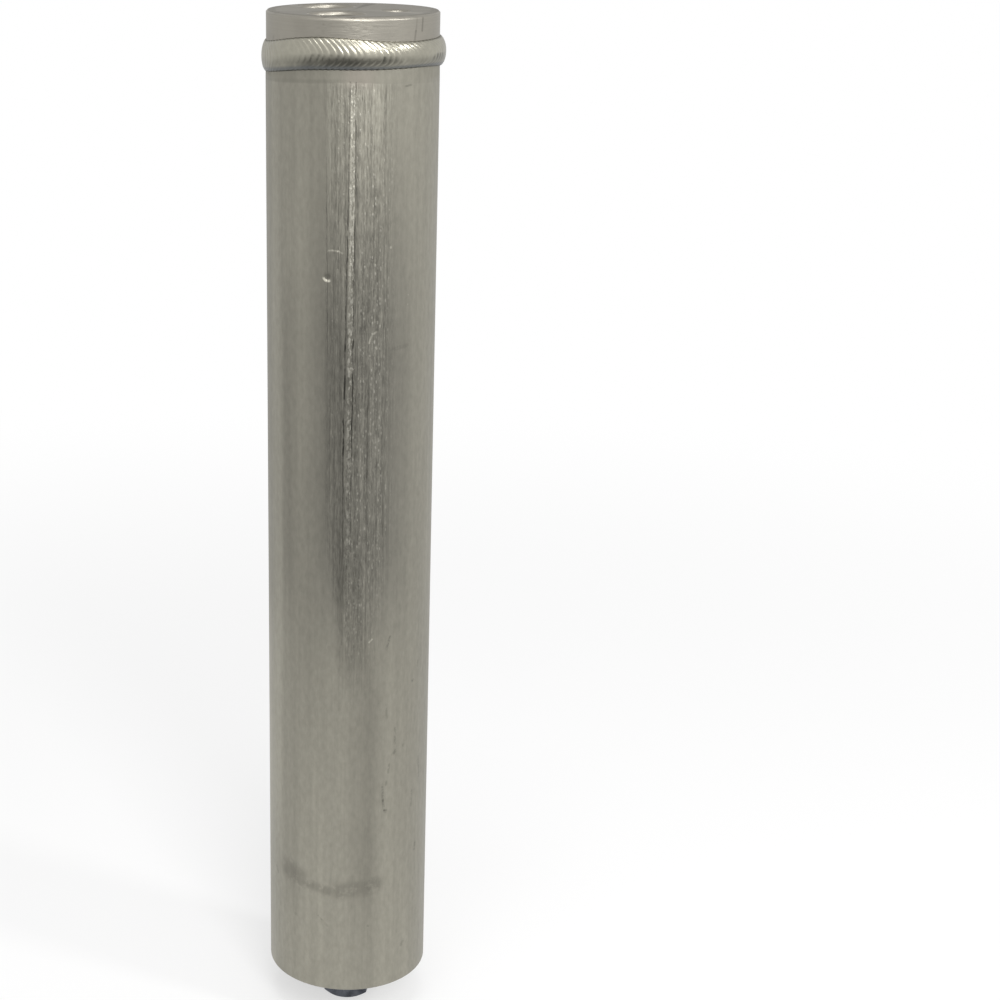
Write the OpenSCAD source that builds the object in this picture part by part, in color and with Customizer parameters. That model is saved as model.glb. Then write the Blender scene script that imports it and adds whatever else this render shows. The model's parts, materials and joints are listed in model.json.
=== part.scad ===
// Receiver drier: an aluminium can closed by a turned head that is welded on all round.
// The head has two stepped ports and a threaded hole for the bolt that holds the pipe block.
// Inside are the pick-up tube with its strainer, and the spring that keeps the drying bed packed.
// The origin is on the can's axis, level with the end of the plug under the can.
// +Z runs up the can to the head, and the front of the drier faces -Y.

/* [Can] */
// Outside diameter of the can
can_d = 50.8; // [48:0.1:56]
// Height of the can from its underside to its rim
can_h = 295.5; // [270:0.5:330]
// Thickness of the can's wall
can_wall = 1.6; // [1.2:0.1:1.8]
// Thickness of the can's floor
can_floor = 6.5; // [5:0.5:9]
// Outer corner radius under the can
can_corner_r = 0.8; // [0.4:0.1:2]
// Fillet between the floor and the wall inside
can_fillet_r = 3; // [1:0.5:4]
// How far the can's outside closes in at its rim
rim_draft = 0.1; // [0.05:0.05:0.2]

/* [Head] */
// Outside diameter of the head
head_d = 50.4; // [50:0.1:50.8]
// Height of the head above the can's rim
head_stand = 11.5; // [11:0.5:16]
// Length of the spigot that enters the can
spigot_h = 10.5; // [10:0.5:13]
// Radial play between the spigot and the can
spigot_play = 0.1; // [0.05:0.05:0.2]
// Turn of the head about the can's axis
head_turn = 75; // [0:1:359]
// Chamfer round the head's face
head_edge = 0.5; // [0.2:0.1:1]

/* [Ports] */
// Diameter of a port at its mouth
port_d = 16.6; // [14:0.1:17]
// Depth of the wide part of a port
port_depth = 8; // [6:0.5:9]
// Distance of a port from the can's axis
port_radius = 14.2; // [14:0.1:14.6]
// Width of the tapered seat at its top
seat_d = 13.4; // [12.5:0.1:13.8]
// Height of the tapered seat
seat_h = 5; // [3:0.5:5]
// Diameter of the bore that takes the pipe's end
pilot_d = 10.2; // [9.8:0.1:11]
// Depth of the inlet's floor below the face
inlet_depth = 18.5; // [17:0.5:19]
// Direction of the outlet, before the head is turned
outlet_angle = 176; // [170:1:182]
// Direction of the inlet, before the head is turned
inlet_angle = 48; // [42:1:54]
// Diameter of the drilling from the inlet's floor into the can
transfer_d = 3.2; // [2.5:0.1:3.6]

/* [Bolt hole] */
// Core diameter of the M8 thread
bolt_core_d = 6.8; // [6.6:0.1:7]
// Depth of the hole without its drill point
bolt_depth = 15; // [12:0.5:17]
// Diameter of the plain lead at the mouth
bolt_lead_d = 8.7; // [8.2:0.1:9]
// Depth of the plain lead
bolt_lead_h = 2; // [1:0.5:3]
// Distance of the hole from the can's axis
bolt_radius = 12.7; // [12:0.1:13.5]
// Direction of the hole, before the head is turned
bolt_angle = 270; // [265:1:275]

/* [Weld] */
// Mean height of the weld bead
weld_h = 8.9; // [8:0.1:10]
// How far the bead stands out from the can
weld_proud = 1.85; // [1.2:0.05:2.4]
// Number of ripples round the bead
weld_ripples = 90; // [60:1:110]
// Depth of a ripple
ripple_depth = 0.2; // [0.1:0.05:0.6]

/* [Drying bed] */
// Clear height under the lower plate
sump_h = 60; // [45:1:70]
// Thickness of a filter pad
pad_h = 6; // [4:1:10]
// Height of the desiccant
bed_h = 100; // [60:1:110]
// Thickness of a perforated plate
plate_t = 1; // [0.8:0.1:1.5]
// Height of a plate's turned rim
plate_rim_h = 4; // [3:0.5:5]
// Diameter of the holes in a plate
plate_hole_d = 3; // [2:0.5:3.5]
// Distance between neighbouring holes in a plate
plate_pitch = 5.6; // [5:0.1:7]

/* [Tube and strainer] */
// Outside diameter of the pick-up tube
tube_d = 9.5; // [9:0.1:9.6]
// Wall thickness of the pick-up tube
tube_wall = 1; // [0.7:0.1:1.2]
// Clear height between the tube's end and the can's floor
tube_gap = 14; // [13:0.5:18]
// Height of the screen below the tube
screen_h = 9; // [6:0.5:9]
// Outside diameter of the strainer
strainer_d = 13; // [12.6:0.1:14]

/* [Spring] */
// Diameter of the spring wire
wire_d = 1.6; // [1.2:0.1:1.8]
// Mean radius of the spring
spring_r = 21.6; // [21.3:0.1:21.8]
// Number of turns, with one close turn at each end
spring_turns = 9; // [6:1:12]

/* [Plug] */
// Width across the flats of the plug's hexagon
plug_af = 14; // [13:0.1:14]
// Height of the hexagon
plug_hex_h = 12.6; // [8:0.1:14]
// Diameter of the plug's thread at half its depth
plug_thread_d = 9.35; // [9:0.05:9.6]
// Diameter of the meltable core
plug_core_d = 4; // [3:0.5:5]
// Outside diameter of the sealing washer
washer_d = 16; // [15.6:0.1:18]
// Thickness of the sealing washer
washer_t = 1.5; // [1:0.1:2]
// Turn of the hexagon about the can's axis
plug_turn = 22; // [0:1:59]

/* [Hidden] */
$fn = 96;

can_r = can_d / 2;
can_bore_r = can_r - can_wall;
head_r = head_d / 2;
spigot_r = can_bore_r - spigot_play;

// Spot face under the can that the plug's washer seats on
spot_h = 0.4;
spot_d = washer_d + 1.4;

// Levels, counted up from the plug's end
can_z = plug_hex_h + washer_t - spot_h;
floor_z = can_z + can_floor;
rim_z = can_z + can_h;
face_z = rim_z + head_stand;
spigot_z = rim_z - spigot_h;
lower_plate_z = floor_z + sump_h;
lower_pad_z = lower_plate_z + plate_t;
bed_z = lower_pad_z + pad_h;
upper_pad_z = bed_z + bed_h;
upper_plate_z = upper_pad_z + pad_h;
spring_z = upper_plate_z + plate_t;

// Welding groove: the flat root of the rim, and the bevels on the can and the head
root_r = can_bore_r + 0.5;
rim_r = can_r - rim_draft;
can_bevel_h = rim_r - root_r;
head_bevel_h = head_r - root_r;
can_bevel_z = rim_z - can_bevel_h;

// Level from which the can closes in, below the lowest place of the weld's edge
draft_z = rim_z - 7.5;

// Places of the holes in the head
outlet_dir = outlet_angle + head_turn;
inlet_dir = inlet_angle + head_turn;
bolt_dir = bolt_angle + head_turn;
outlet_x = port_radius * cos(outlet_dir);
outlet_y = port_radius * sin(outlet_dir);
inlet_x = port_radius * cos(inlet_dir);
inlet_y = port_radius * sin(inlet_dir);
bolt_x = bolt_radius * cos(bolt_dir);
bolt_y = bolt_radius * sin(bolt_dir);

// Mouth chamfers, drill points and the mark in the middle of the inlet's floor
mouth_edge = 0.35;
drill_cone = 0.6;
transfer_offset = 4.2;
transfer_turn = -10;
centre_mark_d = 1.4;
centre_mark_h = 0.5;
tube_stop_depth = 17;

tube_r = tube_d / 2;
tube_bore_r = tube_r - tube_wall;
tube_low_z = floor_z + tube_gap;
tube_top_z = face_z - tube_stop_depth;
tube_edge = 0.3;

collar_h = 7;
cage_base_t = 1.2;
cage_ribs = 6;
cage_rib_t = 1.2;
strainer_r = strainer_d / 2;
screen_r = strainer_r - 0.7;
screen_t = 0.25;
screen_hole_d = 0.8;
screen_rows = 6;
screen_columns = 16;

plate_r = can_bore_r - 0.2;
tube_play = 0.2;
plate_web = 1.1;
ring_t = 0.7;
ring_outer_r = tube_r + 3.2;
ring_band = 1.4;
ring_teeth = 10;
ring_slot = 0.9;

wire_sides = 8;
wire_steps = 24;
end_pitch = wire_d * 1.15;

washer_bore_d = plug_thread_d + 0.7;
thread_relief = 0.5;
hex_corner_r = plug_af / 2 / cos(30);
core_recess = 0.6;

// Small overlap that takes cutting tools past the faces that they open
eps = 0.01;

function arc_points(cx, cy, r, from, to, steps) = [
    for (i = [0 : steps])
        let (a = from + (to - from) * i / steps)
            [cx + r * cos(a), cy + r * sin(a)]
];

// Triangles that join closed rings of the same number of points into a tube
function tube_faces(rings, sides, closed) = [
    for (i = [0 : rings - (closed ? 1 : 2)])
        for (j = [0 : sides - 1])
            let (
                k = (i + 1) % rings,
                n = (j + 1) % sides,
                a = i * sides + j,
                b = i * sides + n,
                c = k * sides + n,
                d = k * sides + j
            )
                each [[a, b, c], [a, c, d]]
];

// Can

module can_profile() {
    polygon(concat(
        [[0, can_z]],
        arc_points(can_r - can_corner_r, can_z + can_corner_r, can_corner_r, -90, 0, 6),
        [[can_r, draft_z], [rim_r, can_bevel_z], [root_r, rim_z], [can_bore_r, rim_z]],
        arc_points(can_bore_r - can_fillet_r, floor_z + can_fillet_r, can_fillet_r, 0, -90, 8),
        [[0, floor_z]]
    ));
}

module canister() {
    color([0.66, 0.66, 0.62])
        difference() {
            rotate_extrude() can_profile();
            translate([0, 0, can_z - eps]) cylinder(d = spot_d, h = spot_h + eps);
            translate([0, 0, can_z]) cylinder(d = plug_thread_d, h = can_floor + 1);
        }
}

// Head

module head_profile() {
    polygon([
        [0, spigot_z],
        [spigot_r - 1, spigot_z],
        [spigot_r, spigot_z + 1],
        [spigot_r, rim_z],
        [root_r, rim_z],
        [head_r, rim_z + head_bevel_h],
        [head_r, face_z - head_edge],
        [head_r - head_edge, face_z],
        [0, face_z]
    ]);
}

// Widening at the mouth of a round hole in the face
module mouth_chamfer(d) {
    translate([0, 0, face_z - mouth_edge])
        cylinder(d1 = d, d2 = d + 2 * (mouth_edge + eps), h = mouth_edge + eps);
}

// Wide part, tapered seat and narrow bore of a port
module port_hollow(depth) {
    mouth_chamfer(port_d);
    translate([0, 0, face_z - port_depth]) cylinder(d = port_d, h = port_depth + eps);
    translate([0, 0, face_z - port_depth - seat_h])
        cylinder(d1 = pilot_d, d2 = seat_d, h = seat_h + eps);
    translate([0, 0, face_z - depth]) cylinder(d = pilot_d, h = depth - port_depth);
}

module outlet_hollow() {
    port_hollow(tube_stop_depth);
    translate([0, 0, spigot_z - eps]) cylinder(d = tube_d, h = tube_top_z - spigot_z + eps);
}

module inlet_hollow() {
    port_hollow(inlet_depth);
    translate([0, 0, face_z - inlet_depth - centre_mark_h])
        cylinder(d1 = 0, d2 = centre_mark_d, h = centre_mark_h + eps);
    rotate(inlet_dir + transfer_turn)
        translate([transfer_offset, 0, spigot_z - eps])
            cylinder(d = transfer_d, h = face_z - inlet_depth - spigot_z + 1);
}

module bolt_hollow() {
    mouth_chamfer(bolt_lead_d);
    translate([0, 0, face_z - bolt_lead_h]) cylinder(d = bolt_lead_d, h = bolt_lead_h + eps);
    translate([0, 0, face_z - bolt_depth]) cylinder(d = bolt_core_d, h = bolt_depth);
    translate([0, 0, face_z - bolt_depth - drill_cone * bolt_core_d / 2])
        cylinder(d1 = 0, d2 = bolt_core_d, h = drill_cone * bolt_core_d / 2);
}

module head() {
    color([0.62, 0.61, 0.57])
        difference() {
            rotate_extrude() head_profile();
            translate([outlet_x, outlet_y, 0]) outlet_hollow();
            translate([inlet_x, inlet_y, 0]) inlet_hollow();
            translate([bolt_x, bolt_y, 0]) bolt_hollow();
        }
}

// Weld bead: crescent ripples laid one over the next, over a root that fills the groove

// Where the three stations of one ripple lie, and how full the bead is at each
ripple_phase = [0, 0.5, 0.86];
ripple_full = [0, 0.75, 1];
// How far a crescent bows ahead of its ends, and how far its lower half runs ahead of its upper, in ripples
ripple_bow = 2.2;
ripple_lean = 0.9;
// Wander of the bead's edges from one ripple to the next
edge_wave = 0.14;
// Slow wander of each edge round the can, in four waves: the size of a wave and the direction of its crest
low_edge_waves = [[1.24, -54], [0.47, -83], [0.1, -122], [0.2, -123]];
high_edge_waves = [[0.57, -54], [0.54, -103], [0.48, -108], [0.22, -123]];
weld_steps = 8;
weld_stations = 3 * weld_ripples;
// Room that keeps the bead's flat facets off the round walls
weld_seat = 0.006;

// Outside radius of the can at a level under its bevel
function wall_radius(z) = can_r - rim_draft * max(0, min(1, (z - draft_z) / (can_bevel_z - draft_z)));

function wander(waves, a) =
    [for (wave = waves) wave[0]]
    * [for (k = [0 : len(waves) - 1]) cos((k + 1) * (a - waves[k][1]))];

// Fullness of the bead across its height, t from -1 at the lower edge to 1 at the upper
function weld_crown(t) = pow(1 - pow(abs(t), 2.1), 0.62);

function weld_point(i, j) =
    let (
        t = 2 * j / weld_steps - 1,
        full = ripple_full[i % 3],
        bow = (1 - t * t) * (ripple_bow - ripple_lean * t),
        ahead = floor(i / 3) + ripple_phase[i % 3] + bow,
        a = 360 * ahead / weld_ripples,
        low_z = rim_z - weld_h / 2 + wander(low_edge_waves, a) + edge_wave * (1 - full),
        high_z = rim_z + weld_h / 2 + wander(high_edge_waves, a) - edge_wave * (1 - full),
        z = low_z + (high_z - low_z) * (t + 1) / 2,
        wall_r = wall_radius(z) + (head_r - wall_radius(z)) * (t + 1) / 2,
        dip = ripple_depth * (1 - full) * sqrt(weld_crown(t)),
        r = wall_r + weld_seat + weld_proud * weld_crown(t) - (abs(t) < 1 ? dip : 0)
    )
        [r * cos(a), r * sin(a), z];

function weld_root_point(i, r, z) =
    let (a = 360 * (floor(i / 3) + ripple_phase[i % 3]) / weld_ripples)
        [(r + weld_seat) * cos(a), (r + weld_seat) * sin(a), z];

function weld_ring(i) = concat(
    [for (j = [0 : weld_steps]) weld_point(i, j)],
    [
        weld_root_point(i, head_r, rim_z + head_bevel_h + weld_seat),
        weld_root_point(i, root_r, rim_z),
        weld_root_point(i, rim_r, can_bevel_z - weld_seat)
    ]
);

module weld_bead() {
    color([0.60, 0.60, 0.58])
        polyhedron(
            points = [for (i = [0 : weld_stations - 1]) each weld_ring(i)],
            faces = tube_faces(weld_stations, weld_steps + 4, true),
            convexity = 6
        );
}

// Pick-up tube and strainer

module tube_profile() {
    polygon([
        [tube_bore_r, tube_low_z],
        [tube_r - tube_edge, tube_low_z],
        [tube_r, tube_low_z + tube_edge],
        [tube_r, tube_top_z - tube_edge],
        [tube_r - tube_edge, tube_top_z],
        [tube_bore_r, tube_top_z]
    ]);
}

module pickup_tube() {
    color([0.70, 0.70, 0.68])
        translate([outlet_x, outlet_y, 0]) rotate_extrude() tube_profile();
}

// Collar gripped on the tube, then ribs and a closed base round the screen
module cage_body() {
    base_z = tube_low_z - screen_h - cage_base_t;
    difference() {
        union() {
            translate([0, 0, base_z]) cylinder(r = strainer_r, h = cage_base_t);
            translate([0, 0, tube_low_z]) cylinder(r = strainer_r, h = collar_h);
        }
        translate([0, 0, tube_low_z - eps]) cylinder(r = tube_r, h = collar_h + 2 * eps);
    }
    difference() {
        intersection() {
            translate([0, 0, base_z]) cylinder(r = strainer_r, h = screen_h + 2 * cage_base_t);
            for (i = [0 : cage_ribs - 1])
                rotate(i * 360 / cage_ribs)
                    translate([0, -cage_rib_t / 2, tube_low_z - screen_h])
                        cube([strainer_r, cage_rib_t, screen_h]);
        }
        translate([0, 0, base_z]) cylinder(r = screen_r, h = screen_h + 2 * cage_base_t);
    }
}

module strainer_cage() {
    color([0.93, 0.92, 0.86]) translate([outlet_x, outlet_y, 0]) cage_body();
}

module strainer_screen() {
    color([0.55, 0.56, 0.56])
        translate([outlet_x, outlet_y, tube_low_z - screen_h])
            difference() {
                cylinder(r = screen_r, h = screen_h);
                translate([0, 0, -1]) cylinder(r = screen_r - screen_t, h = screen_h + 2);
                for (row = [0 : screen_rows - 1])
                    for (column = [0 : screen_columns - 1])
                        translate([0, 0, screen_h * (row + 0.5) / screen_rows])
                            rotate((column + 0.5) * 360 / screen_columns)
                                translate([screen_r - 1, 0, 0])
                                    rotate([0, 90, 0])
                                        cylinder(d = screen_hole_d, h = 2, $fn = 16);
            }
}

// Drying bed between its plates and pads

// Hole centres on a close triangular grid, clear of the rim and of the tube
function plate_holes() =
    let (
        rows = ceil(plate_r / plate_pitch) + 1,
        edge_limit = plate_r - plate_t - plate_web - plate_hole_d / 2,
        tube_limit = tube_r + tube_play + plate_web + plate_hole_d / 2
    )
        [
            for (row = [-rows : rows])
                for (column = [-rows : rows])
                    let (
                        x = plate_pitch * (column + abs(row % 2) / 2),
                        y = plate_pitch * row * sqrt(3) / 2
                    )
                        if (norm([x, y]) < edge_limit && norm([x - outlet_x, y - outlet_y]) > tube_limit)
                            [x, y]
        ];

module perforated_disc() {
    linear_extrude(plate_t)
        difference() {
            circle(r = plate_r);
            translate([outlet_x, outlet_y]) circle(r = tube_r + tube_play);
            for (place = plate_holes())
                translate(place) circle(d = plate_hole_d, $fn = 24);
        }
}

module plate_rim() {
    difference() {
        cylinder(r = plate_r, h = plate_rim_h);
        translate([0, 0, -1]) cylinder(r = plate_r - plate_t, h = plate_rim_h + 2);
    }
}

module upper_plate() {
    color([0.72, 0.71, 0.66])
        translate([0, 0, upper_plate_z]) {
            perforated_disc();
            plate_rim();
        }
}

module lower_plate() {
    color([0.72, 0.71, 0.66])
        translate([0, 0, lower_plate_z]) {
            perforated_disc();
            translate([0, 0, plate_t - plate_rim_h]) plate_rim();
        }
}

// Round layer that fills the can from wall to tube
module packed_layer(h) {
    difference() {
        cylinder(r = can_bore_r, h = h);
        translate([outlet_x, outlet_y, -1]) cylinder(r = tube_r, h = h + 2);
    }
}

module upper_filter_pad() {
    color([0.92, 0.90, 0.84]) translate([0, 0, upper_pad_z]) packed_layer(pad_h);
}

module lower_filter_pad() {
    color([0.92, 0.90, 0.84]) translate([0, 0, lower_pad_z]) packed_layer(pad_h);
}

module desiccant_bed() {
    color([0.86, 0.78, 0.66]) translate([0, 0, bed_z]) packed_layer(bed_h);
}

// Packing spring: a coil with one close turn at each end

spring_room = spigot_z - spring_z;
spring_pitch = (spring_room - wire_d - 2 * end_pitch) / (spring_turns - 2);

function spring_rise(turn) =
    turn < 1 ? end_pitch * turn
    : turn < spring_turns - 1 ? end_pitch + spring_pitch * (turn - 1)
    : spring_room - wire_d - end_pitch * (spring_turns - turn);

function spring_ring(turn) =
    let (a = 360 * turn, level = spring_z + wire_d / 2 + spring_rise(turn))
        [
            for (side = [0 : wire_sides - 1])
                let (
                    b = -360 * side / wire_sides,
                    r = spring_r + wire_d / 2 * cos(b)
                )
                    [r * cos(a), r * sin(a), level + wire_d / 2 * sin(b)]
        ];

module packing_spring() {
    rings = wire_steps * spring_turns + 1;
    last = (rings - 1) * wire_sides;
    color([0.50, 0.50, 0.52])
        polyhedron(
            points = [for (i = [0 : rings - 1]) each spring_ring(i / wire_steps)],
            faces = concat(
                tube_faces(rings, wire_sides, false),
                [[for (side = [wire_sides - 1 : -1 : 0]) side]],
                [[for (side = [0 : wire_sides - 1]) last + side]]
            ),
            convexity = 10
        );
}

// Push-on ring under the lower plate, with teeth that bite on the tube
module tube_lock_ring() {
    color([0.48, 0.48, 0.50])
        translate([outlet_x, outlet_y, lower_plate_z - ring_t])
            linear_extrude(ring_t)
                difference() {
                    circle(r = ring_outer_r);
                    circle(r = tube_r);
                    for (i = [0 : ring_teeth - 1])
                        rotate(i * 360 / ring_teeth)
                            translate([0, -ring_slot / 2])
                                square([ring_outer_r - ring_band, ring_slot]);
                }
}

// Plug under the can, with its washer and its meltable core

module plug_shank() {
    translate([0, 0, plug_hex_h]) cylinder(d = plug_thread_d - 2 * thread_relief, h = washer_t);
    translate([0, 0, plug_hex_h + washer_t]) cylinder(d = plug_thread_d, h = can_floor - spot_h);
}

// Hexagon with its corners turned off at the free end
module plug_hexagon() {
    corner_h = (hex_corner_r - plug_af / 2) * tan(30);
    intersection() {
        rotate(plug_turn) cylinder(r = hex_corner_r, h = plug_hex_h, $fn = 6);
        rotate_extrude()
            polygon([
                [0, 0],
                [plug_af / 2 - 0.2, 0],
                [hex_corner_r + 0.1, corner_h + 0.3],
                [hex_corner_r + 0.1, plug_hex_h],
                [0, plug_hex_h]
            ]);
    }
}

module plug_body() {
    color([0.36, 0.36, 0.38])
        difference() {
            union() {
                plug_hexagon();
                plug_shank();
            }
            translate([0, 0, -1]) cylinder(d = plug_core_d, h = floor_z + 2);
        }
}

module plug_core() {
    color([0.74, 0.75, 0.77])
        translate([0, 0, core_recess]) cylinder(d = plug_core_d, h = floor_z - 2 * core_recess);
}

module plug_washer() {
    color([0.72, 0.45, 0.30])
        translate([0, 0, plug_hex_h])
            difference() {
                cylinder(d = washer_d, h = washer_t);
                translate([0, 0, -1]) cylinder(d = washer_bore_d, h = washer_t + 2);
            }
}

canister();
head();
weld_bead();
pickup_tube();
strainer_cage();
strainer_screen();
upper_plate();
lower_plate();
upper_filter_pad();
lower_filter_pad();
desiccant_bed();
packing_spring();
tube_lock_ring();
plug_body();
plug_core();
plug_washer();
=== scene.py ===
"""Receiver drier, dressed for its picture: a drawn aluminium can with a turned head and a rippled weld.

Lengths are in metres and the shaders count in millimetres. The can stands upright, and its front faces -Y.
An angle on the can is counted in degrees from the front, positive to the right as seen from the front.
"""

from __future__ import annotations

import json
import logging
import math
import random
from dataclasses import dataclass, field
from enum import Enum
from functools import cached_property, reduce
from typing import Any, Iterable, Mapping, Sequence, Union

import bpy
from mathutils import Matrix, Vector

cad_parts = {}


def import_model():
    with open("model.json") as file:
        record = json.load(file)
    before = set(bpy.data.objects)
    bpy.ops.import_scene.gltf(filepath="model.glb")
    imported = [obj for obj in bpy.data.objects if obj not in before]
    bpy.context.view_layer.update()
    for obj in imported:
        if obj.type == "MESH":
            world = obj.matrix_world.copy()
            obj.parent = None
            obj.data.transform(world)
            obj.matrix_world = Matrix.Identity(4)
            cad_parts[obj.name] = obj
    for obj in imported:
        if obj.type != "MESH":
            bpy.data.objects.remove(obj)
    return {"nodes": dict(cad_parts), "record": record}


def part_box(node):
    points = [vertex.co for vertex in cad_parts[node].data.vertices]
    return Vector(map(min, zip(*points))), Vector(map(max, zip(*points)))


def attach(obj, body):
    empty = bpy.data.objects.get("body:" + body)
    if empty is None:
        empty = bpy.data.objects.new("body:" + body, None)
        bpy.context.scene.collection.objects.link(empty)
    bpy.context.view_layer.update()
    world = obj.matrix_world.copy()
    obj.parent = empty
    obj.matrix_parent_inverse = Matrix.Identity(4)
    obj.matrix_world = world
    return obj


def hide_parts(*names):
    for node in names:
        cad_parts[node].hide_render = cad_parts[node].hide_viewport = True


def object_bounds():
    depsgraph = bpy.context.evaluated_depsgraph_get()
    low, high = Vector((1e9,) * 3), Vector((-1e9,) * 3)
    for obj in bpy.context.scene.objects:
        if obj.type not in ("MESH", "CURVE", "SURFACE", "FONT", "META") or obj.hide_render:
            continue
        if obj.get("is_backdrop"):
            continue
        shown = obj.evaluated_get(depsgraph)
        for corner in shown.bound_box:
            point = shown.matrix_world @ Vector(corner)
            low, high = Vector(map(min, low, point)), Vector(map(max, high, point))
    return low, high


LOG = logging.getLogger("receiver_drier")
MM = 0.001
PER_METRE = 1000.0
ROOT_BODY = "root"

Triple = tuple[float, float, float]
Ramp = tuple[float, float]
Stretch = tuple[float, float, float, float]

UP: Triple = (0.0, 0.0, 1.0)
WHITE: Triple = (1.0, 1.0, 1.0)
# Beyond every angle and height on the drier.
FAR = 999.0
EVERYWHERE: Stretch = (-FAR - 1, -FAR, FAR, FAR + 1)


def look(red: int, green: int, blue: int) -> Triple:
    """Linear colour of a surface that should look like this 8-bit one.

    Args:
        red: Red, 0 to 255, as seen on a screen.
        green: Green, 0 to 255.
        blue: Blue, 0 to 255.

    Returns:
        The linear red, green and blue that a shader takes.
    """
    def linear(level: int) -> float:
        """One channel, taken through the screen's curve."""
        share = level / 255
        return share / 12.92 if share <= 0.04045 else ((share + 0.055) / 1.055) ** 2.4

    return (linear(red), linear(green), linear(blue))


def on_wall(angle: float, height: float, radius: float) -> Triple:
    """Point on a round wall, in millimetres.

    Args:
        angle: Degrees to the right of the front.
        height: Height in millimetres.
        radius: Radius of the wall in millimetres.

    Returns:
        The point's x, y and z.
    """
    turn = math.radians(angle)
    return (radius * math.sin(turn), -radius * math.cos(turn), height)


def onwards(start: float, full: float) -> Stretch:
    """A stretch that begins softly and has no end."""
    return (start, full, FAR, FAR + 1)


def until(full: float, end: float) -> Stretch:
    """A stretch that has no beginning and ends softly."""
    return (-FAR - 1, -FAR, full, end)


class Slot(Enum):
    """Material slots of the record."""

    CAN = "can"
    HEAD = "head"
    WELD = "weld"
    TUBE = "tube"
    CAGE = "cage"
    SCREEN = "screen"
    PLATE = "plate"
    FELT = "felt"
    DESICCANT = "desiccant"
    SPRING = "spring"
    PLUG = "plug"
    CORE = "core"
    WASHER = "washer"


class Lay(Enum):
    """Which way the fine lines of a metal finish run."""

    LENGTHWISE = "lengthwise"
    ROUND = "round"


class Wire:
    """A shader socket with arithmetic, so that an expression on wires adds its Math nodes."""

    def __init__(self, graph: Graph, socket: bpy.types.NodeSocket) -> None:
        """Keeps the socket and the graph that it belongs to."""
        self.graph = graph
        self.socket = socket

    def math(self, operation: str, *values: Value) -> Wire:
        """One Math node on the given values."""
        return self.graph.node("ShaderNodeMath", {"operation": operation}, dict(enumerate(values)))

    def __add__(self, other: Value) -> Wire:
        """Sum."""
        return self.math("ADD", self, other)

    __radd__ = __add__

    def __sub__(self, other: Value) -> Wire:
        """Difference."""
        return self.math("SUBTRACT", self, other)

    def __rsub__(self, other: Value) -> Wire:
        """Difference from a number."""
        return self.math("SUBTRACT", other, self)

    def __mul__(self, other: Value) -> Wire:
        """Product."""
        return self.math("MULTIPLY", self, other)

    __rmul__ = __mul__

    def __truediv__(self, other: Value) -> Wire:
        """Quotient."""
        return self.math("DIVIDE", self, other)

    def __rtruediv__(self, other: Value) -> Wire:
        """Quotient of a number."""
        return self.math("DIVIDE", other, self)

    def __pow__(self, other: Value) -> Wire:
        """Power."""
        return self.math("POWER", self, other)

    def larger(self, other: Value) -> Wire:
        """The larger of this and another value."""
        return self.math("MAXIMUM", self, other)

    def smaller(self, other: Value) -> Wire:
        """The smaller of this and another value."""
        return self.math("MINIMUM", self, other)

    def size(self) -> Wire:
        """Absolute value."""
        return self.math("ABSOLUTE", self)


Value = Union[Wire, float, Sequence[float]]


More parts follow.
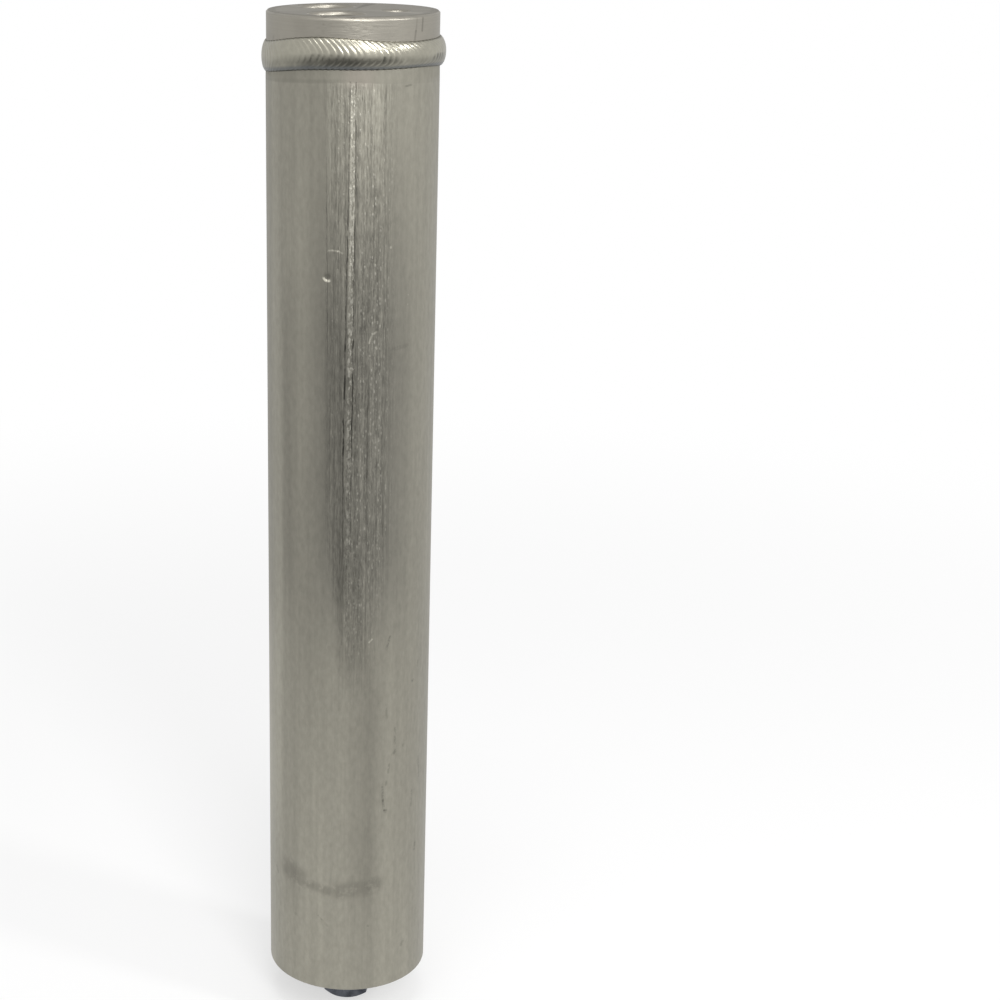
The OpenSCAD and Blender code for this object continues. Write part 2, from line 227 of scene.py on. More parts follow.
class Graph:
    """Builds one material's or the world's node tree."""

    def __init__(self, tree: bpy.types.NodeTree) -> None:
        """Empties the tree."""
        self.tree = tree
        tree.nodes.clear()

    def node(
        self,
        kind: str,
        settings: Mapping[str, Any] | None = None,
        inputs: Mapping[int | str, Value] | None = None,
        output: int | str = 0,
    ) -> Wire:
        """Adds one node.

        Args:
            kind: Blender's name of the node type.
            settings: Properties that are set first, such as a Math node's operation.
            inputs: Values or links of its sockets, by number or name.
            output: The output that is handed back, by number or name.

        Returns:
            The chosen output.
        """
        made = self.tree.nodes.new(kind)
        for name, value in (settings or {}).items():
            setattr(made, name, value)
        for key, value in (inputs or {}).items():
            if isinstance(value, Wire):
                self.tree.links.new(value.socket, made.inputs[key])
            else:
                made.inputs[key].default_value = self._padded(value, made.inputs[key])
        return Wire(self, made.outputs[output] if made.outputs else None)

    @staticmethod
    def _padded(
        value: float | Sequence[float], socket: bpy.types.NodeSocket
    ) -> float | tuple[float, ...]:
        """A value in the form that its socket takes.

        Args:
            value: A number, a vector or a colour.
            socket: The socket that it is meant for.

        Returns:
            The value, a colour with its alpha added.
        """
        if isinstance(value, (int, float)):
            return value
        wants_alpha = socket.type == "RGBA" and len(value) == 3
        return (*value, 1.0) if wants_alpha else tuple(value)

    def vector(self, operation: str, *values: Value) -> Wire:
        """One Vector Math node that gives a vector."""
        return self.node("ShaderNodeVectorMath", {"operation": operation}, dict(enumerate(values)))

    def scaled(self, vector: Value, factor: Value) -> Wire:
        """A vector times a number."""
        sockets = {"Vector": vector, "Scale": factor}
        return self.node("ShaderNodeVectorMath", {"operation": "SCALE"}, sockets)

    def measure(self, operation: str, *values: Value) -> Wire:
        """One Vector Math node that gives a number, such as a distance or a dot product."""
        sockets = dict(enumerate(values))
        return self.node("ShaderNodeVectorMath", {"operation": operation}, sockets, "Value")

    def join(self, x: Value, y: Value, z: Value) -> Wire:
        """A vector from three numbers."""
        return self.node("ShaderNodeCombineXYZ", None, {0: x, 1: y, 2: z})

    def split(self, vector: Wire) -> tuple[Wire, Wire, Wire]:
        """The three numbers of a vector."""
        parts = self.node("ShaderNodeSeparateXYZ", None, {0: vector}).socket.node.outputs
        return (Wire(self, parts[0]), Wire(self, parts[1]), Wire(self, parts[2]))

    def place(self) -> Wire:
        """The point on the object, in millimetres."""
        return self.scaled(self.node("ShaderNodeTexCoord", None, None, "Object"), PER_METRE)

    def surface_normal(self) -> Wire:
        """The smooth normal of the surface."""
        return self.node("ShaderNodeNewGeometry", None, None, "Normal")

    def ease(self, value: Wire, low: float, high: float) -> Wire:
        """Rises smoothly from 0 at low to 1 at high, or falls where low is the larger.

        Args:
            value: The value that drives it.
            low: Where it is 0.
            high: Where it is 1.

        Returns:
            A mask from 0 to 1.
        """
        rising = low < high
        sockets = {
            "Value": value,
            "From Min": min(low, high),
            "From Max": max(low, high),
            "To Min": 0.0 if rising else 1.0,
            "To Max": 1.0 if rising else 0.0,
        }
        return self.node("ShaderNodeMapRange", {"interpolation_type": "SMOOTHSTEP"}, sockets)

    def near(self, value: Wire, centre: float, reach: float, full: float) -> Wire:
        """1 up to full away from a centre, easing to 0 at its reach."""
        return self.ease((value - centre).size(), reach, full)

    def between(self, value: Wire, stretch: Stretch) -> Wire:
        """1 in the middle of a stretch, easing to 0 at its ends."""
        low, low_full, high_full, high = stretch
        return self.ease(value, low, low_full) * self.ease(value, high, high_full)

    def noise(self, vector: Wire, per_mm: float, detail: float = 2.0, rough: float = 0.5) -> Wire:
        """Soft noise from 0 to 1.

        Args:
            vector: The point, in millimetres.
            per_mm: How many features there are in a millimetre.
            detail: How many finer layers are laid over it.
            rough: Strength of each finer layer.

        Returns:
            The noise.
        """
        sockets = {"Vector": vector, "Scale": per_mm, "Detail": detail, "Roughness": rough}
        return self.node("ShaderNodeTexNoise", {"noise_dimensions": "3D"}, sockets, "Fac")

    def cells(self, vector: Wire, per_mm: float, output: str = "Distance") -> Wire:
        """A Voronoi pattern's distance or colour."""
        return self.node("ShaderNodeTexVoronoi", None, {"Vector": vector, "Scale": per_mm}, output)

    def blend(self, factor: Value, first: Value, second: Value) -> Wire:
        """Mixes two colours.

        Args:
            factor: Share of the second colour.
            first: The first colour.
            second: The second colour.

        Returns:
            The mixed colour.
        """
        settings = {"data_type": "RGBA", "clamp_factor": True}
        return self.node("ShaderNodeMix", settings, {0: factor, 6: first, 7: second}, 2)

    def shade(self, colour: Value, level: Wire) -> Wire:
        """A colour made lighter or darker by a number near 1."""
        return self.scaled(colour, level)

    def stroke(self, point: Wire, start: Triple, end: Triple, width: float) -> Wire:
        """Mask of a scratch or pit: 1 along a straight line, falling to 0 at half its width away.

        Args:
            point: The point on the surface, in millimetres.
            start: One end of the line, in millimetres.
            end: The other end; the same point makes a round pit.
            width: Full width of the mark in millimetres.

        Returns:
            A mask from 0 to 1.
        """
        run = Vector(end) - Vector(start)
        nearest: Value = start
        if run.length > 0:
            from_start = self.vector("SUBTRACT", point, start)
            along = self.measure("DOT_PRODUCT", from_start, tuple(run / run.length_squared))
            share = along.larger(0.0).smaller(1.0)
            nearest = self.vector("ADD", self.scaled(tuple(run), share), start)
        return self.ease(self.measure("DISTANCE", point, nearest), width / 2, width / 8)

    def bumped(self, height: Value, depth_mm: float, normal: Wire | None = None) -> Wire:
        """A normal that follows a height from 0 to 1.

        Args:
            height: The height.
            depth_mm: Real depth of the full height, in millimetres.
            normal: The normal that it is laid over, if there is one.

        Returns:
            The bumped normal.
        """
        inputs: dict[int | str, Value] = {"Height": height, "Distance": depth_mm * MM, "Strength": 1.0}
        if normal is not None:
            inputs["Normal"] = normal
        return self.node("ShaderNodeBump", None, inputs)

    def tilted(self, normal: Wire, direction: Value, amount: Value) -> Wire:
        """A normal tipped along a direction, which spreads gloss across a finish's lines."""
        return self.vector("NORMALIZE", self.vector("ADD", normal, self.scaled(direction, amount)))

    def finish(self, **sockets: Value) -> None:
        """Ends the graph with a Principled shader.

        Args:
            sockets: Values or links by socket name, with underscores for spaces.
        """
        named = {name.replace("_", " "): value for name, value in sockets.items()}
        shader = self.node("ShaderNodeBsdfPrincipled", None, named)
        self.node("ShaderNodeOutputMaterial", None, {"Surface": shader})


@dataclass(frozen=True)
class Spot:
    """A place on the object, in millimetres."""

    graph: Graph
    point: Wire
    x: Wire
    y: Wire
    z: Wire

    @classmethod
    def over(cls, graph: Graph, foot: float = 0.0) -> Spot:
        """The place, with its height counted from a foot."""
        point = graph.vector("SUBTRACT", graph.place(), (0.0, 0.0, foot))
        return cls(graph, point, *graph.split(point))

    @cached_property
    def angle(self) -> Wire:
        """Degrees to the right of the front."""
        return self.x.math("ARCTAN2", self.x, 0.0 - self.y) * math.degrees(1)

    @cached_property
    def radial(self) -> Wire:
        """Distance from the axis."""
        return (self.x * self.x + self.y * self.y) ** 0.5

    def drawn_out(self, share: float) -> Wire:
        """The place with its height made smaller, so that a pattern on it runs lengthwise."""
        return self.graph.join(self.x, self.y, self.z * share)

    def grain(self, share: float, per_mm: float, detail: float, rough: float) -> Wire:
        """Noise that runs lengthwise where its share of the height is small.

        Args:
            share: What the height is multiplied by.
            per_mm: How many features there are in a millimetre, across.
            detail: How many finer layers are laid over it.
            rough: Strength of each finer layer.

        Returns:
            The noise.
        """
        return self.graph.noise(self.drawn_out(share), per_mm, detail, rough)


class Finish:
    """A surface finish, which fills a material's graph."""

    def material(self, name: str) -> bpy.types.Material:
        """Builds the finish.

        Args:
            name: Name of the material.

        Returns:
            The material.
        """
        material = bpy.data.materials.new(name)
        material.use_nodes = True
        self.paint(Graph(material.node_tree))
        return material

    def paint(self, graph: Graph) -> None:
        """Fills the graph. Each finish has its own way."""
        raise NotImplementedError


@dataclass(frozen=True)
class Mark:
    """A straight mark on a round wall, placed in degrees from the front and millimetres of height.

    Its level is its brightness against the skin, or its strength, and its depth is in millimetres.
    """

    angle: float
    height: float
    end_angle: float
    end_height: float
    width: float
    level: float = 1.0
    depth: float = 0.0

    def mask(self, point: Wire, radius: float) -> Wire:
        """Where the mark lies.

        Args:
            point: The point on the surface, in millimetres.
            radius: Radius of the wall in millimetres.

        Returns:
            A mask from 0 to 1.
        """
        start = on_wall(self.angle, self.height, radius)
        end = on_wall(self.end_angle, self.end_height, radius)
        return point.graph.stroke(point, start, end, self.width)


@dataclass(frozen=True)
class Patch:
    """A soft-edged patch of a round wall, in degrees and millimetres, and how strongly it shows."""

    angles: Stretch
    heights: Stretch
    strength: float

    def mask(self, angle: Wire, height: Wire) -> Wire:
        """The patch's strength at each place.

        Args:
            angle: Degrees from the front.
            height: Height in millimetres.

        Returns:
            The strength inside the patch, and 0 outside it.
        """
        between = angle.graph.between
        return between(angle, self.angles) * between(height, self.heights) * self.strength


def strongest(marks: Iterable[Mark], point: Wire, radius: float) -> Wire:
    """Some marks laid over each other, each as strong as its level.

    Args:
        marks: The marks.
        point: The point on the surface, in millimetres.
        radius: Radius of the wall in millimetres.

    Returns:
        The strongest mark at each place.
    """
    return reduce(Wire.larger, (mark.mask(point, radius) * mark.level for mark in marks))


@dataclass(frozen=True)
class DrawnAluminium(Finish):
    """The can's skin: matt drawn aluminium with lengthwise lines, a scuffed front and marks of handling.

    Heights are counted in millimetres from the can's underside, and those near the weld from the rim. A ramp
    says where a mask is 0 and where it is full.
    """

    radius: float
    foot: float
    height: float
    colour: Triple = look(159, 156, 144)
    stain: Triple = look(131, 128, 118)
    # Painted reflection: the darker front half way up, where the dim floor in front is mirrored.
    front_reflection_colour: Triple = look(122, 120, 112)
    pink: Triple = look(166, 150, 144)
    bright: Triple = look(222, 219, 206)
    metallic: float = 0.92
    roughness: float = 0.37
    stained: float = 0.35
    dirtied: float = 0.65
    skin: Ramp = (-0.6, -0.2)
    line_tilt: float = 0.14
    torn_tilt: float = 0.75
    relief_mm: float = 0.05
    crumb_relief: float = 0.8
    ridge_relief: float = 0.7
    score_relief: float = 1.6
    crumbs_per_mm: float = 1.3
    crumb_share: float = 0.5
    score_shade: float = 0.62
    sag_per_degree: float = 0.022
    torn_left: Ramp = (-20.0, -12.5)
    torn_right: Ramp = (34.0, 16.0)
    torn_low: Ramp = (84.0, 152.0)
    torn_high: Ramp = (-6.2, -6.8)
    torn_closes: Ramp = (165.0, 112.0)
    rough_rim: Ramp = (-7.2, -6.0)
    dent_angle: float = -15.7
    dent_height: float = 233.7
    dent_slope: Ramp = (0.2, 1.7)
    dent_depth: float = 3.4
    dent_glint: Triple = (1.3, 0.5, 0.2)
    glint_left: float = 0.36
    glint_down: float = 0.933
    # Painted reflection of the dim floor in front, half way up the can.
    painted_front_reflection: Patch = Patch((-40.0, -6.0, 24.0, 62.0), (105.0, 155.0, 205.0, 285.0), 0.7)
    sheen: Patch = Patch((2.0, 6.0, 14.0, 30.0), onwards(235.0, 275.0), 0.2)
    # Painted shade: a darker band down the front that bends as it goes up.
    painted_trough: Patch = Patch((-10.0, 1.0, 7.0, 18.0), (97.0, 118.0, 135.0, 175.0), -0.24)
    painted_trough_turns: Ramp = (118.0, 145.0)
    painted_trough_shift: float = 6.0
    flush: Patch = Patch((-12.0, 0.0, 8.0, 20.0), onwards(-9.6, -6.6), 0.15)
    # Painted shade and light: a darker band on the left, a lighter left edge low down, and darker patches
    # low on the front.
    painted_shades: tuple[Patch, ...] = (
        Patch((-58.0, -49.0, -44.0, -29.0), onwards(18.0, 36.0), -0.08),
        Patch((-58.0, -49.0, -44.0, -29.0), (112.0, 150.0, 215.0, 245.0), -0.13),
        Patch(until(-60.0, -52.0), (38.0, 73.0, 103.0, 138.0), 0.16),
        Patch((-2.0, 8.0, 14.0, 24.0), until(94.0, 124.0), -0.13),
        Patch((-2.0, 8.0, 14.0, 24.0), (25.0, 37.0, 53.0, 65.0), -0.07),
    )
    weld_heat: tuple[Patch, ...] = (
        Patch(EVERYWHERE, onwards(-6.6, -6.2), -0.06),
        Patch(until(-14.0, 8.0), (-6.8, -6.0, -5.8, -5.0), -0.1),
    )
    die_lines: tuple[Mark, ...] = (
        Mark(-1.6, 289.0, -2.3, 256.0, 0.6, 0.6),
        Mark(-2.3, 256.0, -3.6, 220.0, 0.64, 0.9),
        Mark(-3.6, 220.0, -4.9, 180.0, 0.8, 1.25),
        Mark(-4.9, 180.0, -5.2, 120.0, 0.8, 0.9),
        Mark(2.1, 289.0, 2.0, 250.0, 0.6, 0.75),
        Mark(2.0, 250.0, 1.4, 220.0, 0.62, 0.95),
        Mark(1.4, 220.0, 0.8, 180.0, 0.7, 1.15),
        Mark(0.8, 180.0, 0.4, 150.0, 0.7, 0.9),
        Mark(-16.6, 268.0, -15.6, 210.0, 0.5, 0.6),
        Mark(-8.6, 262.0, -8.8, 236.0, 0.5, 0.5),
        Mark(14.6, 262.0, 14.2, 236.0, 0.5, 0.4),
        Mark(21.0, 282.0, 20.6, 264.0, 0.5, 0.3),
        Mark(11.5, 200.0, 11.0, 168.0, 0.5, 0.5),
    )
    ridge: tuple[Mark, ...] = (
        Mark(0.8, 288.0, -0.4, 217.0, 2.3),
        Mark(-0.4, 217.0, -1.8, 120.0, 2.3),
    )
    smudge: tuple[Mark, ...] = (
        Mark(-48.0, 39.4, -38.0, 37.7, 11.0),
        Mark(-38.0, 37.4, -14.0, 35.5, 5.0),
        Mark(-6.0, 35.7, 20.0, 37.5, 8.5),
    )
    marks: tuple[Mark, ...] = (
        Mark(-15.4, 241.1, -12.5, 241.3, 0.9, 1.3, 0.03),
        Mark(-12.5, 241.3, -9.0, 241.1, 0.9, 1.38, 0.03),
        Mark(-9.0, 241.1, -6.2, 240.5, 0.9, 1.25, 0.03),
        Mark(-15.3, 241.0, -15.6, 237.6, 0.5, 0.85, -0.04),
        Mark(26.4, 242.0, 26.4, 242.0, 1.1, 1.6),
        Mark(12.0, 214.2, 13.6, 216.2, 0.9, 1.7),
        Mark(15.0, 216.9, 17.0, 217.4, 0.9, 1.7),
        Mark(16.6, 212.8, 17.2, 212.4, 0.9, 1.6),
        Mark(12.4, 210.4, 12.4, 210.4, 0.9, 1.6),
        Mark(20.0, 212.0, 30.0, 211.9, 2.0, 0.95),
        Mark(30.0, 211.9, 41.0, 212.3, 1.9, 0.88),
        Mark(40.8, 227.4, 40.8, 227.4, 0.7, 1.3),
        Mark(40.5, 224.6, 40.5, 224.6, 0.7, 1.25),
        Mark(14.0, 120.5, 16.0, 121.4, 0.8, 1.6),
        Mark(27.0, 117.5, 28.0, 119.5, 1.2, 0.74),
        Mark(28.0, 119.5, 29.6, 121.4, 1.1, 0.7),
        Mark(51.3, 104.5, 51.3, 104.5, 1.7, 0.7, -0.05),
        Mark(57.1, 108.4, 57.6, 110.0, 1.3, 0.8),
        Mark(21.9, 100.3, 21.9, 100.3, 1.6, 0.8),
        Mark(27.4, 97.6, 27.6, 94.6, 1.2, 0.82),
        Mark(34.7, 90.4, 34.7, 85.2, 1.2, 0.78),
        Mark(35.3, 82.7, 33.4, 81.6, 1.5, 0.72),
        Mark(42.6, 83.7, 42.6, 83.7, 1.7, 0.82),
        Mark(30.2, 78.5, 29.4, 75.8, 1.2, 0.8),
        Mark(28.1, 72.7, 27.8, 71.8, 1.3, 0.82),
        Mark(24.8, 72.0, 25.4, 66.5, 1.2, 0.74),
        Mark(25.4, 66.5, 26.4, 63.0, 1.3, 0.72),
        Mark(27.0, 62.7, 27.6, 62.7, 1.8, 0.7, -0.04),
        Mark(60.3, 77.0, 61.8, 70.0, 1.3, 0.8),
        Mark(52.8, 66.4, 51.6, 61.4, 1.3, 0.82),
        Mark(57.6, 47.0, 57.0, 45.2, 1.7, 0.74),
        Mark(-64.4, 37.2, -62.0, 35.6, 1.7, 0.82),
        Mark(43.5, 12.7, 45.0, 14.1, 1.8, 0.82),
        Mark(-21.5, 26.2, -17.8, 24.5, 0.8, 0.8),
        Mark(-16.5, 23.9, -14.5, 23.1, 1.2, 0.86),
        Mark(15.0, 23.1, 15.0, 23.1, 1.3, 0.78),
        Mark(-41.0, 24.3, -39.5, 24.3, 1.5, 0.84),
        Mark(36.5, 287.6, 41.0, 287.9, 0.9, 0.74),
    )

    def paint(self, graph: Graph) -> None:
        """Lays the skin: fine lines tilt the light, and crumbs, scores and the dent stand in relief.

        Args:
            graph: The material's graph.
        """
        spot = Spot.over(graph, self.foot)
        drawn = self._drawn_front(spot)
        lines = spot.grain(0.012, 1.1, 3.0, 0.7) * 0.5 + spot.grain(0.14, 2.2, 2.0, 0.6) * 0.5
        crumbs = self._crumbs(spot)
        scores = self._scores(spot)
        ridge = strongest(self.ridge, spot.point, self.radius)
        level = self._level(spot, drawn, lines, ridge) * (1.0 - scores * self.score_shade)
        # Bright ripped grains, partly painted highlight sparkle.
        torn_and_sparkle = self._torn_and_sparkle(spot, drawn, crumbs, ridge) * graph.ease(scores, 0.5, 0.1)
        wall = graph.ease(spot.radial - self.radius, *self.skin)
        normal = graph.surface_normal()
        tangent = graph.vector("CROSS_PRODUCT", UP, normal)
        tilt = (lines - 0.5) * (drawn * self.torn_tilt + self.line_tilt) * wall
        raised = drawn * self.crumb_relief + ridge * self.ridge_relief
        relief = crumbs * raised - scores * self.score_relief
        relief = relief + (graph.ease(self._from_dent(spot), *self.dent_slope) - 1.0) * self.dent_depth
        for mark in self.marks:
            if mark.depth:
                relief = relief + mark.mask(spot.point, self.radius) * (mark.depth / self.relief_mm)
        patches = spot.grain(0.4, 0.12, 3.0, 0.6)
        rim = graph.ease(spot.z - self.height, *self.rough_rim)
        graph.finish(
            Base_Color=self._colour(spot, level, torn_and_sparkle),
            Metallic=self.metallic,
            Roughness=self.roughness + patches * 0.14 - drawn * 0.04 + rim * 0.12,
            Normal=graph.bumped(relief, self.relief_mm, graph.tilted(normal, tangent, tilt)),
        )

    def _drawn_front(self, spot: Spot) -> Wire:
        """Where the die tore the front: a lengthwise field, hard on its left and faint below.

        Args:
            spot: The place on the can.

        Returns:
            A mask from 0 to 1.
        """
        graph, angle = spot.graph, spot.angle
        ragged = (graph.noise(spot.point, 0.18, 3.0, 0.6) - 0.5) * 10
        closing = graph.ease(spot.z, *self.torn_closes) * 7.0
        left = graph.ease(angle + ragged * 0.3 - closing, *self.torn_left)
        right = graph.ease(angle + ragged + closing, *self.torn_right)
        low = graph.ease(spot.z + ragged * 4 - angle.size() * 0.4, *self.torn_low)
        return left * right * low * graph.ease(self._below_rim(spot), *self.torn_high)

    def _below_rim(self, spot: Spot) -> Wire:
        """Height against the rim, along a line that sags a little away from the front."""
        return spot.z + spot.angle.size() * self.sag_per_degree - self.height

    def _crumbs(self, spot: Spot) -> Wire:
        """Small torn grains with dust between them, in rows down the can.

        Args:
            spot: The place on the can.

        Returns:
            A mask from 0 to 1.
        """
        graph, place = spot.graph, spot.drawn_out(self.crumb_share)
        grain = graph.ease(graph.cells(place, self.crumbs_per_mm), 0.45, 0.14)
        own = graph.split(graph.cells(place, self.crumbs_per_mm, "Color"))[0]
        dust = graph.ease(graph.noise(place, 2.1, 2.0, 0.6), 0.5, 0.72) * 0.35
        rows = graph.ease(spot.grain(0.01, 1.1, 2.0, 0.6), 0.36, 0.54)
        return (grain * graph.ease(own, 0.2, 0.9)).larger(dust) * rows

    def _scores(self, spot: Spot) -> Wire:
        """Two deep lines that the die scored down the front and a few short ones, swaying and broken.

        Args:
            spot: The place on the can.

        Returns:
            How deep the lines are, about 1 where they are deepest.
        """
        graph = spot.graph
        sockets = {"Vector": spot.point, "Scale": 0.25, "Detail": 2.0, "Roughness": 0.6}
        soft = graph.node("ShaderNodeTexNoise", {"noise_dimensions": "3D"}, sockets, "Color")
        sway = graph.scaled(graph.vector("SUBTRACT", soft, (0.5, 0.5, 0.5)), 0.7)
        bent = graph.vector("ADD", spot.point, sway)
        broken = graph.ease(graph.noise(spot.point, 0.15, 3.0, 0.7), 0.36, 0.56) * 0.7 + 0.3
        faint = graph.ease(spot.z, 128.0, 190.0) * 0.7 + 0.3
        return strongest(self.die_lines, bent, self.radius) * broken * faint

    def _from_dent(self, spot: Spot) -> Wire:
        """Distance from the middle of the small round dent."""
        centre = on_wall(self.dent_angle, self.dent_height, self.radius)
        return spot.graph.measure("DISTANCE", spot.point, centre)

    def _dent_shade(self, spot: Spot) -> Wire:
        """How light the dent is: a glint on its lower left edge, and shade above it.

        Args:
            spot: The place on the can.

        Returns:
            A number that is 1 away from the dent.
        """
        graph, away = spot.graph, self._from_dent(spot)
        centre = on_wall(self.dent_angle, self.dent_height, self.radius)
        across, left = math.radians(self.dent_angle), self.glint_left
        towards = (-left * math.cos(across), -left * math.sin(across), -self.glint_down)
        outwards = graph.vector("SUBTRACT", spot.point, centre)
        facing = graph.measure("DOT_PRODUCT", outwards, towards) / away.larger(0.1)
        glint = graph.near(away, *self.dent_glint) * graph.ease(facing, 0.35, 0.85)
        return 1.0 + glint * 1.6 - graph.ease(away, 1.25, 0.5) * 0.28

    def _level(self, spot: Spot, drawn: Wire, lines: Wire, ridge: Wire) -> Wire:
        """How light the skin is against its own colour, with painted shade, sheen, highlight and glint in
        it.

        Args:
            spot: The place on the can.
            drawn: Where the die tore the front.
            lines: The fine lengthwise lines.
            ridge: The ridge between the two deep lines.

        Returns:
            A number near 1.
        """
        graph, angle, z = spot.graph, spot.angle, spot.z
        mottle = spot.grain(0.5, 0.7, 3.0, 0.6) - 0.5
        bands = spot.grain(0.02, 0.3, 2.0, 0.5) - 0.5
        # Painted shade and light from the bent band and the patches.
        turned = angle + graph.ease(z, *self.painted_trough_turns) * self.painted_trough_shift
        shade = 1.0 + self.painted_trough.mask(turned, z)
        for patch in self.painted_shades:
            shade = shade + patch.mask(angle, z)
        level = shade * (0.93 + (lines - 0.5) * 0.16 + mottle * 0.34 + bands * 0.3)
        # Painted light and shade on the ripped front: lighter at the top, darker lower down and on the left,
        # as the highlight falls off.
        painted_falloff = (0.05 + graph.ease(angle, 4.0, -4.0) * 0.09) * (graph.ease(z, 285.0, 190.0) * 1.3 - 0.3)
        cut = (0.5 - lines) * (1.6 + graph.ease(angle, -6.0, 2.0) * 0.8)
        level = level * (1.0 - drawn * (cut + painted_falloff)) * self._dent_shade(spot)
        level = level * (1.0 + self.sheen.mask(angle, z) * drawn)
        # Painted highlight along the ridge, stronger near the top.
        level = level * (1.0 + ridge * (graph.ease(z, 210.0, 275.0) * 0.2 + 0.03))
        gaps = graph.ease(graph.noise(spot.point, 1.3, 1.0, 0.5), 0.36, 0.5) * 0.8 + 0.2
        for mark in self.marks:
            shape = mark.mask(spot.point, self.radius)
            shape = shape * gaps if mark.level < 1.0 else shape
            level = level * (1.0 + shape * (mark.level - 1.0))
        return level

    def _torn_and_sparkle(self, spot: Spot, drawn: Wire, crumbs: Wire, ridge: Wire) -> Wire:
        """How much bright ripped metal and painted highlight sparkle show, more on the right and near the
        top.

        Args:
            spot: The place on the can.
            drawn: Where the die tore the front.
            crumbs: The torn grains.
            ridge: The ridge between the two deep lines.

        Returns:
            A mask from 0 to 1.
        """
        graph = spot.graph
        sides = drawn * (graph.ease(spot.angle, -6.0, 4.0) * 0.25 + 0.07)
        chain = graph.ease(spot.grain(0.5, 1.6, 1.0, 0.5), 0.46, 0.64)
        fading = graph.ease(spot.z, 135.0, 215.0) * 0.34 + 0.08
        return crumbs * sides + crumbs.larger(chain) * ridge * fading

    def _colour(self, spot: Spot, level: Wire, torn_and_sparkle: Wire) -> Wire:
        """Base colour: stains, a darker painted reflection on the front half way up, the smudge, ripped
        grains with painted sparkle and the weld's heat.

        Args:
            spot: The place on the can.
            level: How light the skin is.
            torn_and_sparkle: How much bright ripped metal and painted sparkle show.

        Returns:
            The colour.
        """
        graph, angle, below = spot.graph, spot.angle, self._below_rim(spot)
        broad = graph.ease(spot.grain(0.08, 0.06, 3.0, 0.55), 0.4, 0.68)
        colour = graph.blend(broad * self.stained, self.colour, self.stain)
        # Painted reflection on the front half way up.
        colour = graph.blend(self.painted_front_reflection.mask(angle, spot.z), colour, self.front_reflection_colour)
        patchy = graph.ease(graph.noise(spot.point, 0.35, 4.0, 0.65), 0.32, 0.52)
        dirt = strongest(self.smudge, spot.point, self.radius) * patchy
        colour = graph.shade(graph.blend(dirt * self.dirtied, colour, self.stain), level)
        # Ripped grains and painted sparkle, in a bright colour.
        colour = graph.blend(torn_and_sparkle, colour, self.bright)
        colour = graph.blend(self.flush.mask(angle, below), colour, self.pink)
        for patch in self.weld_heat:
            colour = graph.shade(colour, 1.0 + patch.mask(angle, below))
        return colour


